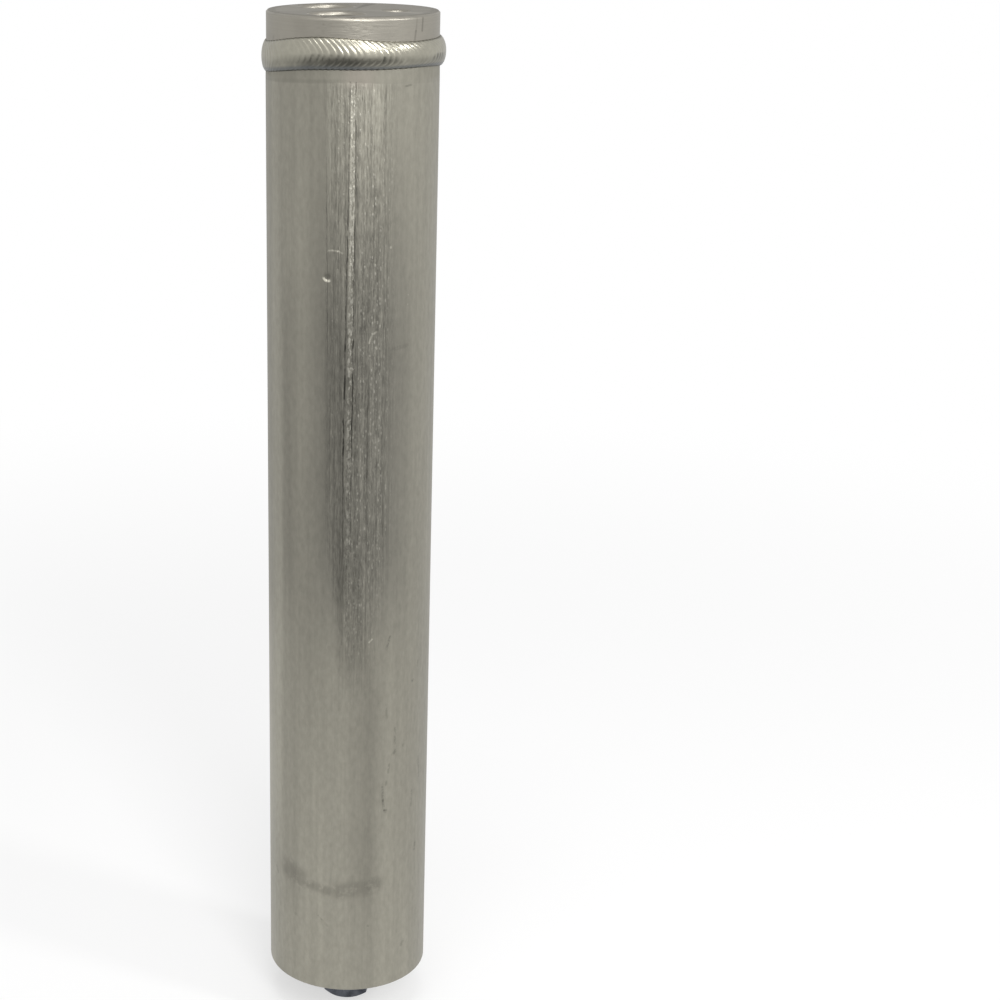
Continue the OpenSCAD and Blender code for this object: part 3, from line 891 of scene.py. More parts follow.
@dataclass(frozen=True)
class TurnedAluminium(Finish):
    """The head's skin: bright turned rings round the head's own axis, and round each port's inside it.

    The heights of the marks are counted in millimetres up from the face, so they are negative. Each painted
    reflection fan of the face has its direction from the axis, its half width in degrees, and how bright it
    is.
    """

    radius: float
    face: float
    ports: tuple[Triple, ...]
    colour: Triple = look(160, 156, 146)
    dark: Triple = look(112, 109, 100)
    # Painted shade deep in the ports' bores.
    bore_shade: Triple = look(74, 71, 64)
    roughness: float = 0.38
    lip_rise: Ramp = (-1.3, -0.45)
    lip_tilt: float = 0.8
    bore_shade_depths: Ramp = (-1.2, -6.0)
    flat_face: Ramp = (-0.12, -0.04)
    outer_ring: Ramp = (0.885, 0.9)
    ring_drop: float = 0.05
    # Painted shade: how much darker the face is than the wall.
    face_shade: float = 0.36
    flat_roughness: float = 0.14
    ring_tilts: Ramp = (0.5, 0.14)
    bore_shade_share: float = 0.85
    painted_fan_core: float = 0.3
    # Painted reflection on the face: each fan shape lighter or darker.
    painted_fans: tuple[Triple, ...] = (
        (190.0, 2.6, 1.5),
        (146.5, 5.0, 1.4),
        (330.0, 5.5, 1.34),
        (4.0, 3.0, 1.16),
        (169.0, 16.0, 1.14),
        (76.0, 6.0, 0.7),
        (255.0, 5.0, 0.68),
    )
    marks: tuple[Mark, ...] = (
        Mark(45.6, -1.0, 44.8, -4.2, 0.9, 0.86),
        Mark(44.6, -4.4, 43.8, -6.6, 1.1, 0.74),
        Mark(51.4, -1.0, 50.8, -4.4, 1.1, 0.7),
        Mark(-63.5, -6.6, -66.0, -8.6, 0.9, 0.84),
        Mark(-19.0, -2.2, -19.0, -2.2, 1.1, 0.9),
        Mark(13.0, -2.6, 16.0, -2.9, 0.7, 0.9),
    )

    def paint(self, graph: Graph) -> None:
        """Lays the rings, the worn edge, painted shade in the bores, painted reflection in fan shapes, and
        the marks.

        Args:
            graph: The material's graph.
        """
        spot = Spot.over(graph, self.face)
        x, y, z = spot.x, spot.y, spot.z
        inside, axis_x, axis_y = spot.radial * 0.0, x * 0.0, y * 0.0
        for port_x, port_y, port_r in self.ports:
            away = ((x - port_x) * (x - port_x) + (y - port_y) * (y - port_y)) ** 0.5
            here = graph.ease(away, port_r + 0.4, port_r + 0.3)
            inside = inside.larger(here)
            axis_x = axis_x + here * port_x
            axis_y = axis_y + here * port_y
        from_axis = graph.join(x - axis_x, y - axis_y, 0.0)
        ring = graph.measure("LENGTH", from_axis) + z + self.face
        drift = graph.noise(graph.join(x, y, 0.0), 0.05, 1.0, 0.5) * 2
        coarse = graph.noise(graph.join(ring, 0.0, 0.0), 1.9, 2.0, 0.6)
        fine = graph.noise(graph.join(ring, drift, 0.0), 7.0, 2.0, 0.7)
        normal = graph.surface_normal()
        turned = graph.vector("CROSS_PRODUCT", UP, graph.vector("NORMALIZE", from_axis))
        across = graph.vector("CROSS_PRODUCT", turned, normal)
        worn_edge = graph.tilted(normal, UP, graph.ease(z, *self.lip_rise) * self.lip_tilt)
        fine_tilt, coarse_tilt = self.ring_tilts
        tilt = (fine - 0.5) * fine_tilt + (coarse - 0.5) * coarse_tilt
        stains = graph.noise(graph.place(), 0.11, 4.0, 0.6)
        worn = graph.blend(graph.ease(stains, 0.45, 0.75) * 0.14, self.colour, self.dark)
        # Painted shade in each port below its mouth.
        deep = graph.ease(z, *self.bore_shade_depths) * inside
        flat = graph.ease(z, *self.flat_face)
        # Painted shade and reflection on the face.
        level = (0.84 + coarse * 0.18 + fine * 0.14) * self._painted_fans(spot, flat)
        for mark in self.marks:
            level = level * (1.0 + mark.mask(spot.point, self.radius) * (mark.level - 1.0))
        graph.finish(
            Base_Color=graph.shade(graph.blend(deep * self.bore_shade_share, worn, self.bore_shade), level),
            Metallic=1.0,
            Roughness=self.roughness + stains * 0.1 + flat * self.flat_roughness,
            Normal=graph.tilted(worn_edge, across, tilt),
        )

    def _painted_fans(self, spot: Spot, flat: Wire) -> Wire:
        """Painted shade and reflection on the turned face: darker than the wall, with painted fan shapes
        from its middle.

        Args:
            spot: The place on the head.
            flat: 1 on the face.

        Returns:
            A number near 1.
        """
        graph, radial = spot.graph, spot.radial
        outward = graph.scaled(graph.join(spot.x, spot.y, 0.0), 1.0 / radial.larger(0.01))
        starts, ends = (self.radius * share for share in self.outer_ring)
        # Painted shade: the face darker than the wall.
        level = 1.0 - flat * (graph.ease(radial, starts, ends) * self.ring_drop + self.face_shade)
        inner = flat * graph.ease(radial, ends, starts)
        # Painted reflection in fan shapes.
        for turn, half, bright in self.painted_fans:
            middle = (math.cos(math.radians(turn)), math.sin(math.radians(turn)), 0.0)
            towards = graph.measure("DOT_PRODUCT", outward, middle)
            edge, core = (math.cos(math.radians(half * share)) for share in (1.0, self.painted_fan_core))
            level = level * (1.0 + inner * graph.ease(towards, edge, core) * (bright - 1.0))
        return level


@dataclass(frozen=True)
class WeldMetal(Finish):
    """The bead: smooth bright weld metal above; painted shade with patchy smut below, a painted blue-grey
    reflection at the lower edge, and matt edges.

    A zone on the bead has its centre, its reach and its full part, in degrees from the front. Places across
    the bead count from -1 at its lower edge to 1 at its upper one.
    """

    colour: Triple = look(162, 159, 146)
    crest: Triple = look(174, 171, 157)
    # Smut, and painted shade on the bead's lower half.
    soot_and_shade: Triple = look(92, 91, 84)
    # Painted blue-grey reflection of the dark below, at the bead's lower edge.
    blue: Triple = look(92, 96, 100)
    metallic: float = 0.96
    roughness: float = 0.26
    pits_mm: float = 0.008
    shaded_lower_half: Ramp = (0.1, -0.55)
    blue_reflection_edge: Ramp = (-0.6, -0.85)
    both_edges: Ramp = (0.86, 0.98)
    tick_top: Ramp = (0.06, -0.1)
    tick_foot: Ramp = (-0.6, -0.28)
    clean_edge: Triple = (12.0, 38.0, 15.0)
    soot_and_shade_zone: Triple = (-12.0, 34.0, 12.0)
    ticks: tuple[Triple, ...] = ((-17.0, 18.0, 10.0), (23.5, 9.0, 4.5), (66.5, 12.0, 6.0))

    def paint(self, graph: Graph) -> None:
        """Lays the weld metal with painted shade and smut on its lower half, a painted blue-grey reflection
        at its lower edge, and the dark ticks between ripples.

        Args:
            graph: The material's graph.
        """
        spot = Spot.over(graph)
        angle = spot.angle
        hollow = graph.node("ShaderNodeAttribute", {"attribute_name": "crease"}, None, "Fac")
        across = graph.node("ShaderNodeAttribute", {"attribute_name": "across"}, None, "Fac")
        mottle = graph.noise(spot.point, 0.5, 4.0, 0.6)
        patches = graph.ease(graph.noise(spot.point, 0.16, 3.0, 0.6), 0.34, 0.62)
        ticked = reduce(Wire.larger, (graph.near(angle, *zone) for zone in self.ticks))
        tick = graph.ease(across, *self.tick_top) * graph.ease(across, *self.tick_foot)
        tick = hollow * tick * (ticked * 0.9 + 0.1) * patches
        dulled = 1.0 - graph.near(angle, *self.clean_edge) * 0.7
        edge = graph.ease(across.size(), *self.both_edges) * dulled
        soot_and_shade_amount = patches * 0.2 + graph.near(angle, *self.soot_and_shade_zone) * 0.4 + 0.3
        base = graph.blend(graph.ease(mottle, 0.34, 0.72) * 0.7, self.colour, self.crest)
        # Painted shade on the lower half, patchy with smut.
        base = graph.blend(graph.ease(across, *self.shaded_lower_half) * soot_and_shade_amount, base, self.soot_and_shade)
        # Painted blue-grey reflection at the lower edge.
        base = graph.blend(graph.ease(across, *self.blue_reflection_edge) * 0.7, base, self.blue)
        base = graph.blend(tick * 0.9, base, self.soot_and_shade)
        graph.finish(
            Base_Color=graph.blend(edge * 0.55, base, self.soot_and_shade),
            Metallic=self.metallic,
            Roughness=self.roughness + mottle * 0.06 + edge * 0.12,
            Normal=graph.bumped(graph.noise(spot.point, 2.2, 3.0, 0.6), self.pits_mm),
        )


@dataclass(frozen=True)
class PlainMetal(Finish):
    """A simple metal part's skin, with fine lines one way and a slow change of shade."""

    colour: Triple
    dark: Triple
    roughness: float
    lay: Lay = Lay.ROUND
    lines_per_mm: float = 3.0
    line_tilt: float = 0.18
    line_stretch: float = 0.03
    blotch_per_mm: float = 0.25

    def paint(self, graph: Graph) -> None:
        """Lays the lines and the blotches.

        Args:
            graph: The material's graph.
        """
        spot = Spot.over(graph)
        lengthwise = self.lay is Lay.LENGTHWISE
        run, across = (self.line_stretch, 1.0) if lengthwise else (1.0, self.line_stretch)
        along = graph.join(spot.x * across, spot.y * across, spot.z * run)
        lines = graph.noise(along, self.lines_per_mm, 3.0, 0.6)
        blotches = graph.noise(spot.point, self.blotch_per_mm, 4.0, 0.6)
        normal = graph.surface_normal()
        direction: Value = graph.vector("CROSS_PRODUCT", UP, normal) if lengthwise else UP
        colour = graph.blend(graph.ease(blotches, 0.4, 0.68), self.colour, self.dark)
        graph.finish(
            Base_Color=graph.shade(colour, 0.88 + lines * 0.24),
            Metallic=1.0,
            Roughness=self.roughness + blotches * 0.12,
            Normal=graph.tilted(normal, direction, (lines - 0.5) * self.line_tilt),
        )


@dataclass(frozen=True)
class MouldedNylon(Finish):
    """Milky moulded nylon with a faint orange-peel skin."""

    colour: Triple = look(226, 222, 207)
    shadow: Triple = look(196, 190, 170)
    peel_mm: float = 0.03

    def paint(self, graph: Graph) -> None:
        """Lays the milky colour and the peel.

        Args:
            graph: The material's graph.
        """
        point = graph.place()
        cloud = graph.noise(point, 0.3, 3.0, 0.5)
        peel = graph.noise(point, 3.0, 2.0, 0.5)
        graph.finish(
            Base_Color=graph.blend(graph.ease(cloud, 0.35, 0.7), self.colour, self.shadow),
            Roughness=0.42 + peel * 0.1,
            Subsurface_Weight=0.08,
            Normal=graph.bumped(peel, self.peel_mm),
        )


@dataclass(frozen=True)
class FeltPad(Finish):
    """Pressed wool felt, with fibres that lie every way."""

    colour: Triple = look(228, 222, 205)
    shadow: Triple = look(186, 176, 152)
    fibres_per_mm: float = 3.5
    fibre_stretch: float = 0.3
    fibre_mm: float = 0.25

    def paint(self, graph: Graph) -> None:
        """Lays two sets of fibres across each other.

        Args:
            graph: The material's graph.
        """
        spot = Spot.over(graph)
        ways = (
            graph.join(spot.x * self.fibre_stretch, spot.y, spot.z),
            graph.join(spot.x, spot.y * self.fibre_stretch, spot.z),
        )
        fibres = reduce(Wire.larger, (graph.noise(way, self.fibres_per_mm, 4.0, 0.7) for way in ways))
        graph.finish(
            Base_Color=graph.blend(graph.ease(fibres, 0.45, 0.7), self.shadow, self.colour),
            Roughness=0.95,
            Sheen_Weight=0.3,
            Normal=graph.bumped(fibres, self.fibre_mm),
        )


@dataclass(frozen=True)
class PackedBeads(Finish):
    """Round desiccant beads, each of its own shade of tan."""

    bead_mm: float = 2.0
    colour: Triple = look(214, 193, 160)
    dark: Triple = look(178, 148, 110)
    # Painted shade between the beads.
    gap_shade: Triple = look(96, 76, 54)

    def paint(self, graph: Graph) -> None:
        """Lays the beads as domes, with painted shade between them.

        Args:
            graph: The material's graph.
        """
        point = graph.place()
        away = graph.cells(point, 1 / self.bead_mm)
        own_shade = graph.split(graph.cells(point, 1 / self.bead_mm, "Color"))[0]
        dome = (1.0 - (away * 1.5) * (away * 1.5)).larger(0.0) ** 0.5
        bead = graph.blend(own_shade, self.colour, self.dark)
        graph.finish(
            Base_Color=graph.blend(graph.ease(away, 0.48, 0.66), bead, self.gap_shade),
            Roughness=0.75,
            Normal=graph.bumped(dome, self.bead_mm / 3),
        )


@dataclass(frozen=True)
class Mirrored:
    """How bright the room is where gloss looks: a base, a lean to the right, and a drop at the back."""

    side_level: float = 0.9
    side_lean: float = 0.04
    back_drop: float = 0.12
    back: Ramp = (0.4, 0.9)

    def level(self, aside: Wire, depth: Wire) -> Wire:
        """The brightness in one direction.

        Args:
            aside: How far the direction points to the right, -1 to 1.
            depth: How far it points to the back, -1 to 1.

        Returns:
            The brightness.
        """
        plain = self.side_level + aside * self.side_lean
        return plain - depth.graph.ease(depth, *self.back) * self.back_drop


@dataclass(frozen=True)
class StudioFloor(Finish):
    """A white floor that keeps the soft shadow under the drier.

    Gloss sees it bright close by and far off, with a dark stretch some way in front of the drier.
    """

    colour: Triple = (0.9, 0.9, 0.9)
    paper: float = 0.55
    room: Mirrored = Mirrored()
    open_floor: Ramp = (0.22, 0.75)
    near_floor: Ramp = (0.34, 0.14)
    near_level: float = 1.02
    dark_level: float = 0.2
    dark_from: Ramp = (0.19, 0.48)
    dark_to: Ramp = (2.0, 0.8)
    dark_ahead: Ramp = (-0.2, -0.97)

    def paint(self, graph: Graph) -> None:
        """Lays the floor.

        Args:
            graph: The material's graph.
        """
        place = graph.node("ShaderNodeTexCoord", None, None, "Object")
        away = graph.measure("LENGTH", place)
        aside, depth, _ = graph.split(graph.scaled(place, 1.0 / away.larger(0.01)))
        dark = graph.ease(away, *self.dark_from) * graph.ease(away, *self.dark_to)
        dark = dark * graph.ease(depth, *self.dark_ahead)
        seen, gloss = background_rays(graph)
        side_level = self.room.side_level
        plain = self.room.level(aside, depth)
        plain = plain + graph.ease(away, *self.near_floor) * (self.near_level - side_level)
        mirrored = plain - dark * (side_level - self.dark_level)
        level = 1.0 - gloss * (1.0 - mirrored)
        matt = graph.node("ShaderNodeBsdfDiffuse", None, {"Color": self.colour})
        glow = graph.node("ShaderNodeEmission", None, {"Color": WHITE, "Strength": level})
        open_floor = graph.ease(away, *self.open_floor) * (1.0 - self.paper) + self.paper
        share = seen.larger(gloss) * open_floor
        both = graph.node("ShaderNodeMixShader", None, {0: share, 1: matt, 2: glow})
        graph.node("ShaderNodeOutputMaterial", None, {"Surface": both})


def background_rays(graph: Graph) -> tuple[Wire, Wire]:
    """The rays that look at a background.

    Args:
        graph: The graph that asks.

    Returns:
        1 for camera and transmission rays, and 1 for glossy rays.
    """
    rays = graph.node("ShaderNodeLightPath").socket.node.outputs
    camera = Wire(graph, rays["Is Camera Ray"])
    through = Wire(graph, rays["Is Transmission Ray"])
    return camera.larger(through), Wire(graph, rays["Is Glossy Ray"])


def dress(node: bpy.types.Object, material: bpy.types.Material, slot: Slot) -> None:
    """Gives a node of the frame its finish.

    Args:
        node: The node's object.
        material: Its material.
        slot: The record's material slot, which is not used.
    """
    node.data.materials.clear()
    node.data.materials.append(material)
    LOG.info("dressed %s with %s", node.name, material.name)


def mesh_piece(
    name: str,
    points: Iterable[Triple],
    faces: Iterable[Sequence[int]],
    material: bpy.types.Material,
    slot: Slot,
) -> bpy.types.Object:
    """Makes a smooth mesh piece that rides on the drier's body.

    Args:
        name: Name of the piece.
        points: Its points in metres.
        faces: Its faces as numbers of points.
        material: Its material.
        slot: The record's material slot, which is not used.

    Returns:
        The piece.
    """
    mesh = bpy.data.meshes.new(name)
    mesh.from_pydata([tuple(p) for p in points], [], [tuple(f) for f in faces])
    mesh.validate()
    mesh.shade_smooth()
    mesh.materials.append(material)
    piece = bpy.data.objects.new(name, mesh)
    bpy.context.scene.collection.objects.link(piece)
    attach(piece, ROOT_BODY)
    LOG.info("built %s: %d points", name, len(mesh.vertices))
    return piece


def ring_faces(rings: int, sides: int, closed: bool) -> list[tuple[int, int, int, int]]:
    """Faces that join rings of points into a tube.

    Args:
        rings: Number of rings.
        sides: Points in each ring.
        closed: Whether the last ring joins the first.

    Returns:
        The faces as numbers of points.
    """
    last = rings if closed else rings - 1
    faces = []
    for ring in range(last):
        here, there = ring * sides, (ring + 1) % rings * sides
        for side in range(sides):
            nxt = (side + 1) % sides
            faces.append((here + side, here + nxt, there + nxt, there + side))
    return faces


@dataclass
class Studio:
    """Camera, floor, lamps and surroundings."""

    camera_y: float = -0.61385
    camera_z: float = 0.37005
    look_down: float = 17.894
    roll: float = 0.368
    focal_px: float = 2075.4
    frame_px: float = 1000.0
    axis_px: float = 350.0
    sensor_mm: float = 36.0
    floor_size: float = 60.0
    surround: float = 0.66
    room: Mirrored = Mirrored()
    front: Ramp = (-0.2, -0.9)
    front_level: float = 1.0

    def build(self) -> None:
        """Sets up the whole studio."""
        self.place_camera()
        self.lay_floor()
        self.light()
        self.surroundings()

    def place_camera(self) -> None:
        """Puts the camera where the photograph was taken from."""
        data = bpy.data.cameras.new("camera")
        data.sensor_width = self.sensor_mm
        data.lens = self.focal_px * self.sensor_mm / self.frame_px
        data.shift_x = 0.5 - self.axis_px / self.frame_px
        down = math.radians(self.look_down)
        roll = math.radians(self.roll)
        level = Vector((1.0, 0.0, 0.0))
        rise = Vector((0.0, math.sin(down), math.cos(down)))
        right = math.cos(roll) * level + math.sin(roll) * rise
        up = math.cos(roll) * rise - math.sin(roll) * level
        back = right.cross(up)
        camera = bpy.data.objects.new("camera", data)
        turn = Matrix((right, up, back)).transposed().to_4x4()
        camera.matrix_world = Matrix.Translation((0.0, self.camera_y, self.camera_z)) @ turn
        bpy.context.scene.collection.objects.link(camera)
        bpy.context.scene.camera = camera

    def lay_floor(self) -> None:
        """Lays the floor that the drier stands on."""
        half = self.floor_size / 2
        mesh = bpy.data.meshes.new("floor")
        corners = [(-half, -half, 0), (half, -half, 0), (half, half, 0), (-half, half, 0)]
        mesh.from_pydata(corners, [], [(0, 1, 2, 3)])
        mesh.materials.append(StudioFloor().material("floor"))
        floor = bpy.data.objects.new("floor", mesh)
        bpy.context.scene.collection.objects.link(floor)
        floor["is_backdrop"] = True

    def light(self) -> None:
        """Hangs the lamps: a soft key in front and above, a small one to the right, and one overhead."""
        self.hang("key", (0.26, -1.12, 0.93), 0.3, (0.5, 0.66), 9.4)
        self.hang("side", (0.89, -0.48, 0.82), 0.32, (0.15, 0.24), 3.4)
        self.hang("top", (-0.02, -0.4, 1.38), 0.3, (0.5, 0.4), 4.0)

    def hang(self, name: str, place: Triple, aim: float, size: Ramp, watts: float) -> None:
        """Hangs one soft lamp that faces the can's axis.

        Args:
            name: Name of the lamp.
            place: Where it hangs, in metres.
            aim: Height of the point on the axis that it faces.
            size: Its width and height in metres.
            watts: Its power.
        """
        data = bpy.data.lights.new(name, "AREA")
        data.shape = "RECTANGLE"
        data.size, data.size_y = size
        data.energy = watts
        lamp = bpy.data.objects.new(name, data)
        lamp.location = place
        facing = Vector((0.0, 0.0, aim)) - Vector(place)
        lamp.rotation_euler = facing.to_track_quat("-Z", "Y").to_euler()
        bpy.context.scene.collection.objects.link(lamp)

    def surroundings(self) -> None:
        """Surrounds the drier with a room that the camera sees white and gloss sees dimmer at the back."""
        scene = bpy.context.scene
        scene.view_settings.view_transform = "Standard"
        world = bpy.data.worlds.new("surroundings")
        world.use_nodes = True
        scene.world = world
        graph = Graph(world.node_tree)
        direction = graph.node("ShaderNodeTexCoord", None, None, "Generated")
        aside, depth, _ = graph.split(graph.vector("NORMALIZE", direction))
        seen, gloss = background_rays(graph)
        ahead = graph.ease(depth, *self.front) * (self.front_level - self.room.side_level)
        level = self.room.level(aside, depth) + ahead
        strength = seen + (1.0 - seen) * level * (self.surround + gloss * (1.0 - self.surround))
        sockets = {"Color": WHITE, "Strength": strength}
        glow = graph.node("ShaderNodeBackground", None, sockets)
        graph.node("ShaderNodeOutputWorld", None, {"Surface": glow})


@dataclass
class Canister:
    """The drawn can."""

    node: bpy.types.Object
    radius: float
    foot: float
    rim: float

    def dress(self) -> None:
        """Gives the can its drawn skin."""
        sizes = (self.radius, self.foot, self.rim - self.foot)
        finish = DrawnAluminium(*(size * PER_METRE for size in sizes))
        dress(self.node, finish.material("drawn_can"), Slot.CAN)


@dataclass
class Head:
    """The turned head with its two ports and its bolt hole."""

    node: bpy.types.Object
    radius: float
    face: float
    holes: Mapping[str, Mapping[str, Any]]
    thread_pitch: float = 1.25 * MM
    thread_start: float = 2.0 * MM
    thread_depth: float = 14.0 * MM
    thread_ridge: float = 0.28 * MM
    thread_section: tuple[Ramp, ...] = ((0.02, -0.42), (-1.0, -0.09), (-1.0, 0.09), (0.02, 0.42))
    steps_per_turn: int = 72

    def dress(self) -> bpy.types.Material:
        """Gives the head its turned skin.

        Returns:
            The material, which the thread takes too.
        """
        ports = tuple(
            (hole["pos_m"][0] * PER_METRE, hole["pos_m"][1] * PER_METRE, hole["dims"]["r_mm"])
            for hole in self.holes.values()
        )
        finish = TurnedAluminium(self.radius * PER_METRE, self.face * PER_METRE, ports)
        material = finish.material("turned_head")
        dress(self.node, material, Slot.HEAD)
        return material

    def build_thread(self, material: bpy.types.Material) -> None:
        """Cuts the bolt hole's thread as a helical ridge on its wall.

        Args:
            material: The head's material.
        """
        hole = self.holes["fitting_bolt_hole"]
        centre_x, centre_y = hole["pos_m"][0], hole["pos_m"][1]
        wall = hole["dims"]["r_mm"] * MM
        turns = (self.thread_depth - self.thread_start) / self.thread_pitch
        rings = int(turns * self.steps_per_turn) + 1
        points = []
        for ring in range(rings):
            turn = ring / self.steps_per_turn
            lead = min(1.0, turn * 2, (turns - turn) * 2 + 0.05)
            angle = 2 * math.pi * turn
            level = self.face - self.thread_start - turn * self.thread_pitch
            for out, along in self.thread_section:
                radius = wall + out * self.thread_ridge * (lead if out < 0 else 1.0)
                points.append((
                    centre_x + radius * math.cos(angle),
                    centre_y + radius * math.sin(angle),
                    level + along * self.thread_pitch,
                ))
        sides = len(self.thread_section)
        faces: list[Sequence[int]] = list(ring_faces(rings, sides, False))
        faces.append(tuple(reversed(range(sides))))
        faces.append(tuple(range((rings - 1) * sides, rings * sides)))
        mesh_piece("bolt_hole_thread", points, faces, material, Slot.HEAD)


@dataclass(frozen=True)
class EdgeWander:
    """Slow wander of one edge of the weld: each wave's size in millimetres and its crest's direction."""

    waves: tuple[Ramp, ...]

    def at(self, turn: float) -> float:
        """How far the edge is from its mean.

        Args:
            turn: Direction from the can's axis in radians.

        Returns:
            The distance upwards in metres.
        """
        return MM * sum(
            size * math.cos(order * (turn - math.radians(crest)))
            for order, (size, crest) in enumerate(self.waves, 1)
        )


@dataclass
class WeldBead:
    """The rippled bead, finer than the solid that it stands for."""

    can_r: float
    head_r: float
    rim: float
    ripples: int = 90
    height: float = 8.9 * MM
    proud: float = 1.85 * MM
    ripple_depth: float = 0.16 * MM
    bow: float = 2.2
    lean: float = 0.45
    calm: float = 0.2
    edge_wave: float = 0.1 * MM
    seat: float = 0.006 * MM
    root_r: float = 24.3 * MM
    rim_draft: float = 0.1 * MM
    draft_run: float = 7.5 * MM
    low_edge: EdgeWander = EdgeWander(((1.24, -54), (0.47, -83), (0.1, -122), (0.2, -123)))
    high_edge: EdgeWander = EdgeWander(((0.57, -54), (0.54, -103), (0.48, -108), (0.22, -123)))
    thin_side: float = 0.28
    stations: int = 14
    steps: int = 34
    crest_at: float = 0.66
    seed: int = 7
    depths: list[float] = field(default_factory=list)
    shifts: list[float] = field(default_factory=list)

    def build(self) -> None:
        """Builds the bead, which takes the plain bead's place."""
        chance = random.Random(self.seed)
        self.depths = [chance.uniform(0.55, 1.0) for _ in range(self.ripples)]
        self.shifts = [chance.uniform(-0.12, 0.12) for _ in range(self.ripples)]
        points: list[Triple] = []
        creases: list[float] = []
        places: list[float] = []
        rings = self.ripples * self.stations
        for ring in range(rings):
            ripple, phase = divmod(ring, self.stations)
            for point, crease, across in self.ring(ripple, phase / self.stations):
                points.append(point)
                creases.append(crease)
                places.append(across)
        faces = ring_faces(rings, self.steps + 4, True)
        metal = WeldMetal().material("weld_metal")
        piece = mesh_piece("weld_ripples", points, faces, metal, Slot.WELD)
        for name, values in (("crease", creases), ("across", places)):
            attribute = piece.data.attributes.new(name, "FLOAT", "POINT")
            attribute.data.foreach_set("value", values)
        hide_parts("weld_bead")

    def fullness(self, phase: float) -> float:
        """How full a ripple is along its length, from its crease at 0 to its crest and down again.

        Args:
            phase: Place along the ripple, 0 to 1.

        Returns:
            0 in the crease and 1 at the crest.
        """
        if phase < self.crest_at:
            return 0.5 - 0.5 * math.cos(math.pi * (phase / self.crest_at) ** 0.8)
        return 0.5 + 0.5 * math.cos(math.pi * (phase - self.crest_at) / (1 - self.crest_at))

    def crown(self, across: float) -> float:
        """Height of the bead's section as a share of its full height, across from -1 to 1."""
        return (1 - abs(across) ** 2.1) ** 0.62

    def wall(self, level: float) -> float:
        """Radius of the can's outside, which closes in a little under the bead.

        Args:
            level: Height in metres.

        Returns:
            The radius in metres.
        """
        bevel = self.rim - (self.can_r - self.rim_draft - self.root_r)
        start = self.rim - self.draft_run
        share = (level - start) / (bevel - start)
        return self.can_r - self.rim_draft * max(0.0, min(1.0, share))

    def ring(self, ripple: int, phase: float) -> Iterable[tuple[Triple, float, float]]:
        """The points of one section of the bead.

        Args:
            ripple: Number of the ripple.
            phase: Place along the ripple, 0 to 1.

        Yields:
            Each point with its share of a crease, and its place across the bead from -1 to 1.
        """
        full = self.fullness(phase)
        depth = self.ripple_depth * self.depths[ripple]
        shift, next_shift = self.shifts[ripple], self.shifts[(ripple + 1) % self.ripples]
        bow = self.bow + shift * (1 - phase) + next_shift * phase
        for step in range(self.steps + 1):
            across = 2 * step / self.steps - 1
            crown = self.crown(across)
            ahead = ripple + phase + (1 - across * across) * (bow - self.lean * across)
            turn = 2 * math.pi * ahead / self.ripples
            ruffle = self.edge_wave * (1 - full)
            low = self.rim - self.height / 2 + self.low_edge.at(turn) + ruffle
            high = self.rim + self.height / 2 + self.high_edge.at(turn) - ruffle
            level = low + (high - low) * (across + 1) / 2
            wall = self.wall(level) + (self.head_r - self.wall(level)) * (across + 1) / 2
            proud = self.proud * (1 - self.thin_side * (1 - math.cos(turn)) / 2)
            crease = (1 - full) * math.sqrt(crown)
            dip = depth * crease * (self.calm + (1 - self.calm) * (across + 1) / 2)
            radius = wall + self.seat + proud * crown - dip
            yield (radius * math.cos(turn), radius * math.sin(turn), level), crease, across
        turn = 2 * math.pi * (ripple + phase) / self.ripples
        rim_r = self.can_r - self.rim_draft
        bevel_high = self.rim + self.head_r - self.root_r + self.seat
        bevel_low = self.rim - (rim_r - self.root_r) - self.seat
        for radius, level in ((self.head_r, bevel_high), (self.root_r, self.rim), (rim_r, bevel_low)):
            held, across = radius + self.seat, (level - self.rim) / self.height
            yield (held * math.cos(turn), held * math.sin(turn), level), 0.0, across


@dataclass(frozen=True)
class Dressing:
    """One finish of a sub-assembly, and the pieces that have it."""

    finish: Finish
    material: str
    slot: Slot
    pieces: tuple[str, ...]


@dataclass
class Dressed:
    """A sub-assembly whose solids stay as they are, and take the finishes of its list."""

    nodes: Mapping[str, bpy.types.Object]
    dressings: tuple[Dressing, ...] = ()

    def dress(self) -> None:
        """Gives each piece its finish."""
        for dressing in self.dressings:
            material = dressing.finish.material(dressing.material)
            for name in dressing.pieces:
                dress(self.nodes[name], material, dressing.slot)


@dataclass
class Plug(Dressed):
    """The fusible plug under the can, with its core and washer."""

    dressings: tuple[Dressing, ...] = (
        Dressing(
            PlainMetal(look(98, 101, 108), look(66, 68, 74), 0.3, lines_per_mm=2.0),
            "plated_steel", Slot.PLUG, ("plug_body",),
        ),
        Dressing(
            PlainMetal(look(182, 120, 84), look(128, 80, 56), 0.35),
            "soft_copper", Slot.WASHER, ("plug_washer",),
        ),
        Dressing(
            PlainMetal(look(176, 178, 182), look(120, 122, 126), 0.4, lines_per_mm=1.5),
            "cast_alloy", Slot.CORE, ("plug_core",),
        ),
    )


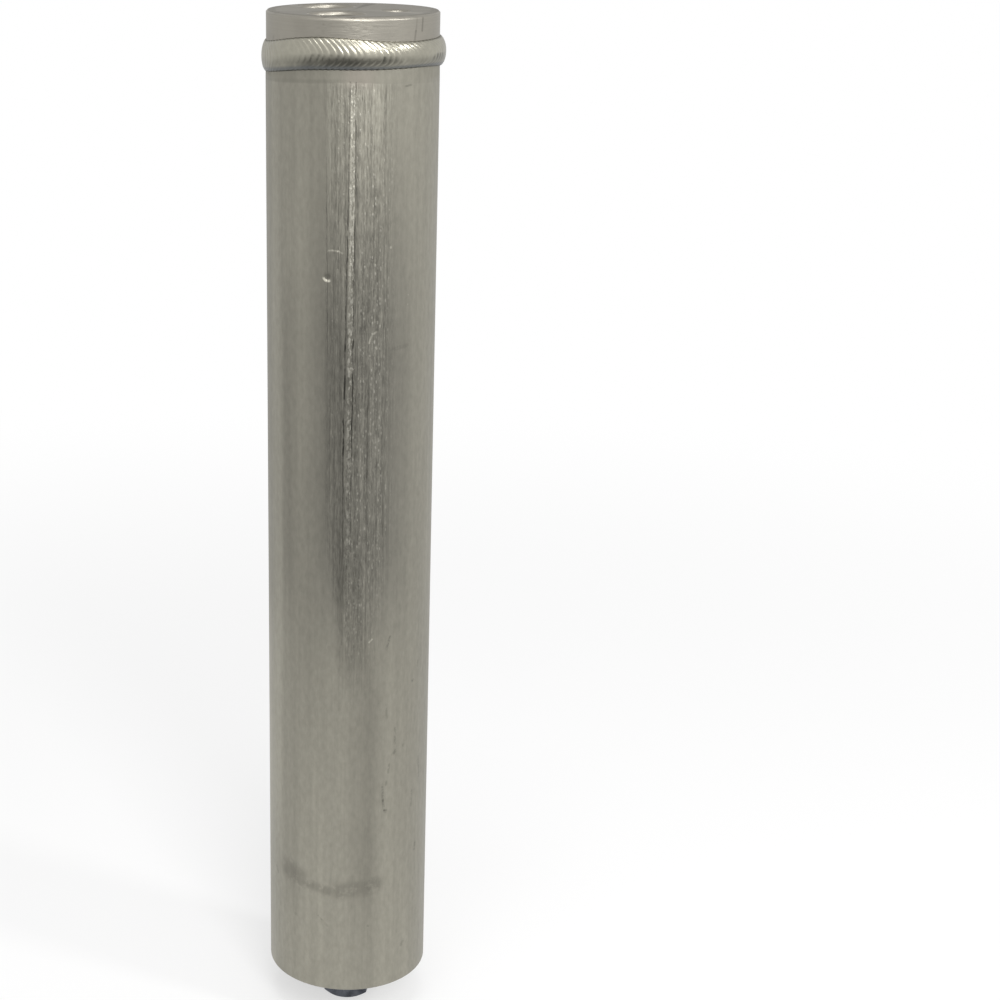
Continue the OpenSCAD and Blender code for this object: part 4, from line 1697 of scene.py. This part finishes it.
@dataclass
class DryingBed(Dressed):
    """The desiccant between its felt pads and pierced plates, and the spring that presses on them."""

    dressings: tuple[Dressing, ...] = (
        Dressing(
            PlainMetal(look(186, 183, 172), look(146, 142, 130), 0.38, lines_per_mm=1.2),
            "zinc_plate", Slot.PLATE, ("upper_plate", "lower_plate"),
        ),
        Dressing(FeltPad(), "wool_felt", Slot.FELT, ("upper_filter_pad", "lower_filter_pad")),
        Dressing(PackedBeads(), "desiccant_beads", Slot.DESICCANT, ("desiccant_bed",)),
        Dressing(
            PlainMetal(look(128, 128, 132), look(84, 84, 88), 0.3, Lay.LENGTHWISE),
            "spring_steel", Slot.SPRING, ("packing_spring", "tube_lock_ring"),
        ),
    )


@dataclass
class Pickup(Dressed):
    """The pick-up tube with its strainer."""

    dressings: tuple[Dressing, ...] = (
        Dressing(
            PlainMetal(look(190, 189, 182), look(152, 150, 142), 0.32, Lay.LENGTHWISE),
            "drawn_tube", Slot.TUBE, ("pickup_tube",),
        ),
        Dressing(MouldedNylon(), "moulded_nylon", Slot.CAGE, ("strainer_cage",)),
        Dressing(
            PlainMetal(look(158, 159, 160), look(104, 105, 106), 0.35, lines_per_mm=6.0, line_tilt=0.4),
            "screen_wire", Slot.SCREEN, ("strainer_screen",),
        ),
    )


def main() -> None:
    """Builds the studio and the drier."""
    logging.basicConfig(level=logging.INFO, format="%(name)s: %(message)s")
    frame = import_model()
    solid_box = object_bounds()
    nodes = frame["nodes"]
    mounts = {mount["name"]: mount for mount in frame["record"]["mounts"]}
    holes = {name: mounts[name] for name in ("outlet_port", "inlet_port", "fitting_bolt_hole")}
    can_low, can_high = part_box("canister")
    head_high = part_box("head")[1]
    Studio().build()
    Canister(nodes["canister"], can_high.x, can_low.z, can_high.z).dress()
    head = Head(nodes["head"], head_high.x, head_high.z, holes)
    head.build_thread(head.dress())
    WeldBead(can_high.x, head_high.x, can_high.z).build()
    Plug(nodes).dress()
    DryingBed(nodes).dress()
    Pickup(nodes).dress()
    [[list(corner) for corner in box] for box in (solid_box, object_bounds())]


if __name__ == "__main__":
    main()
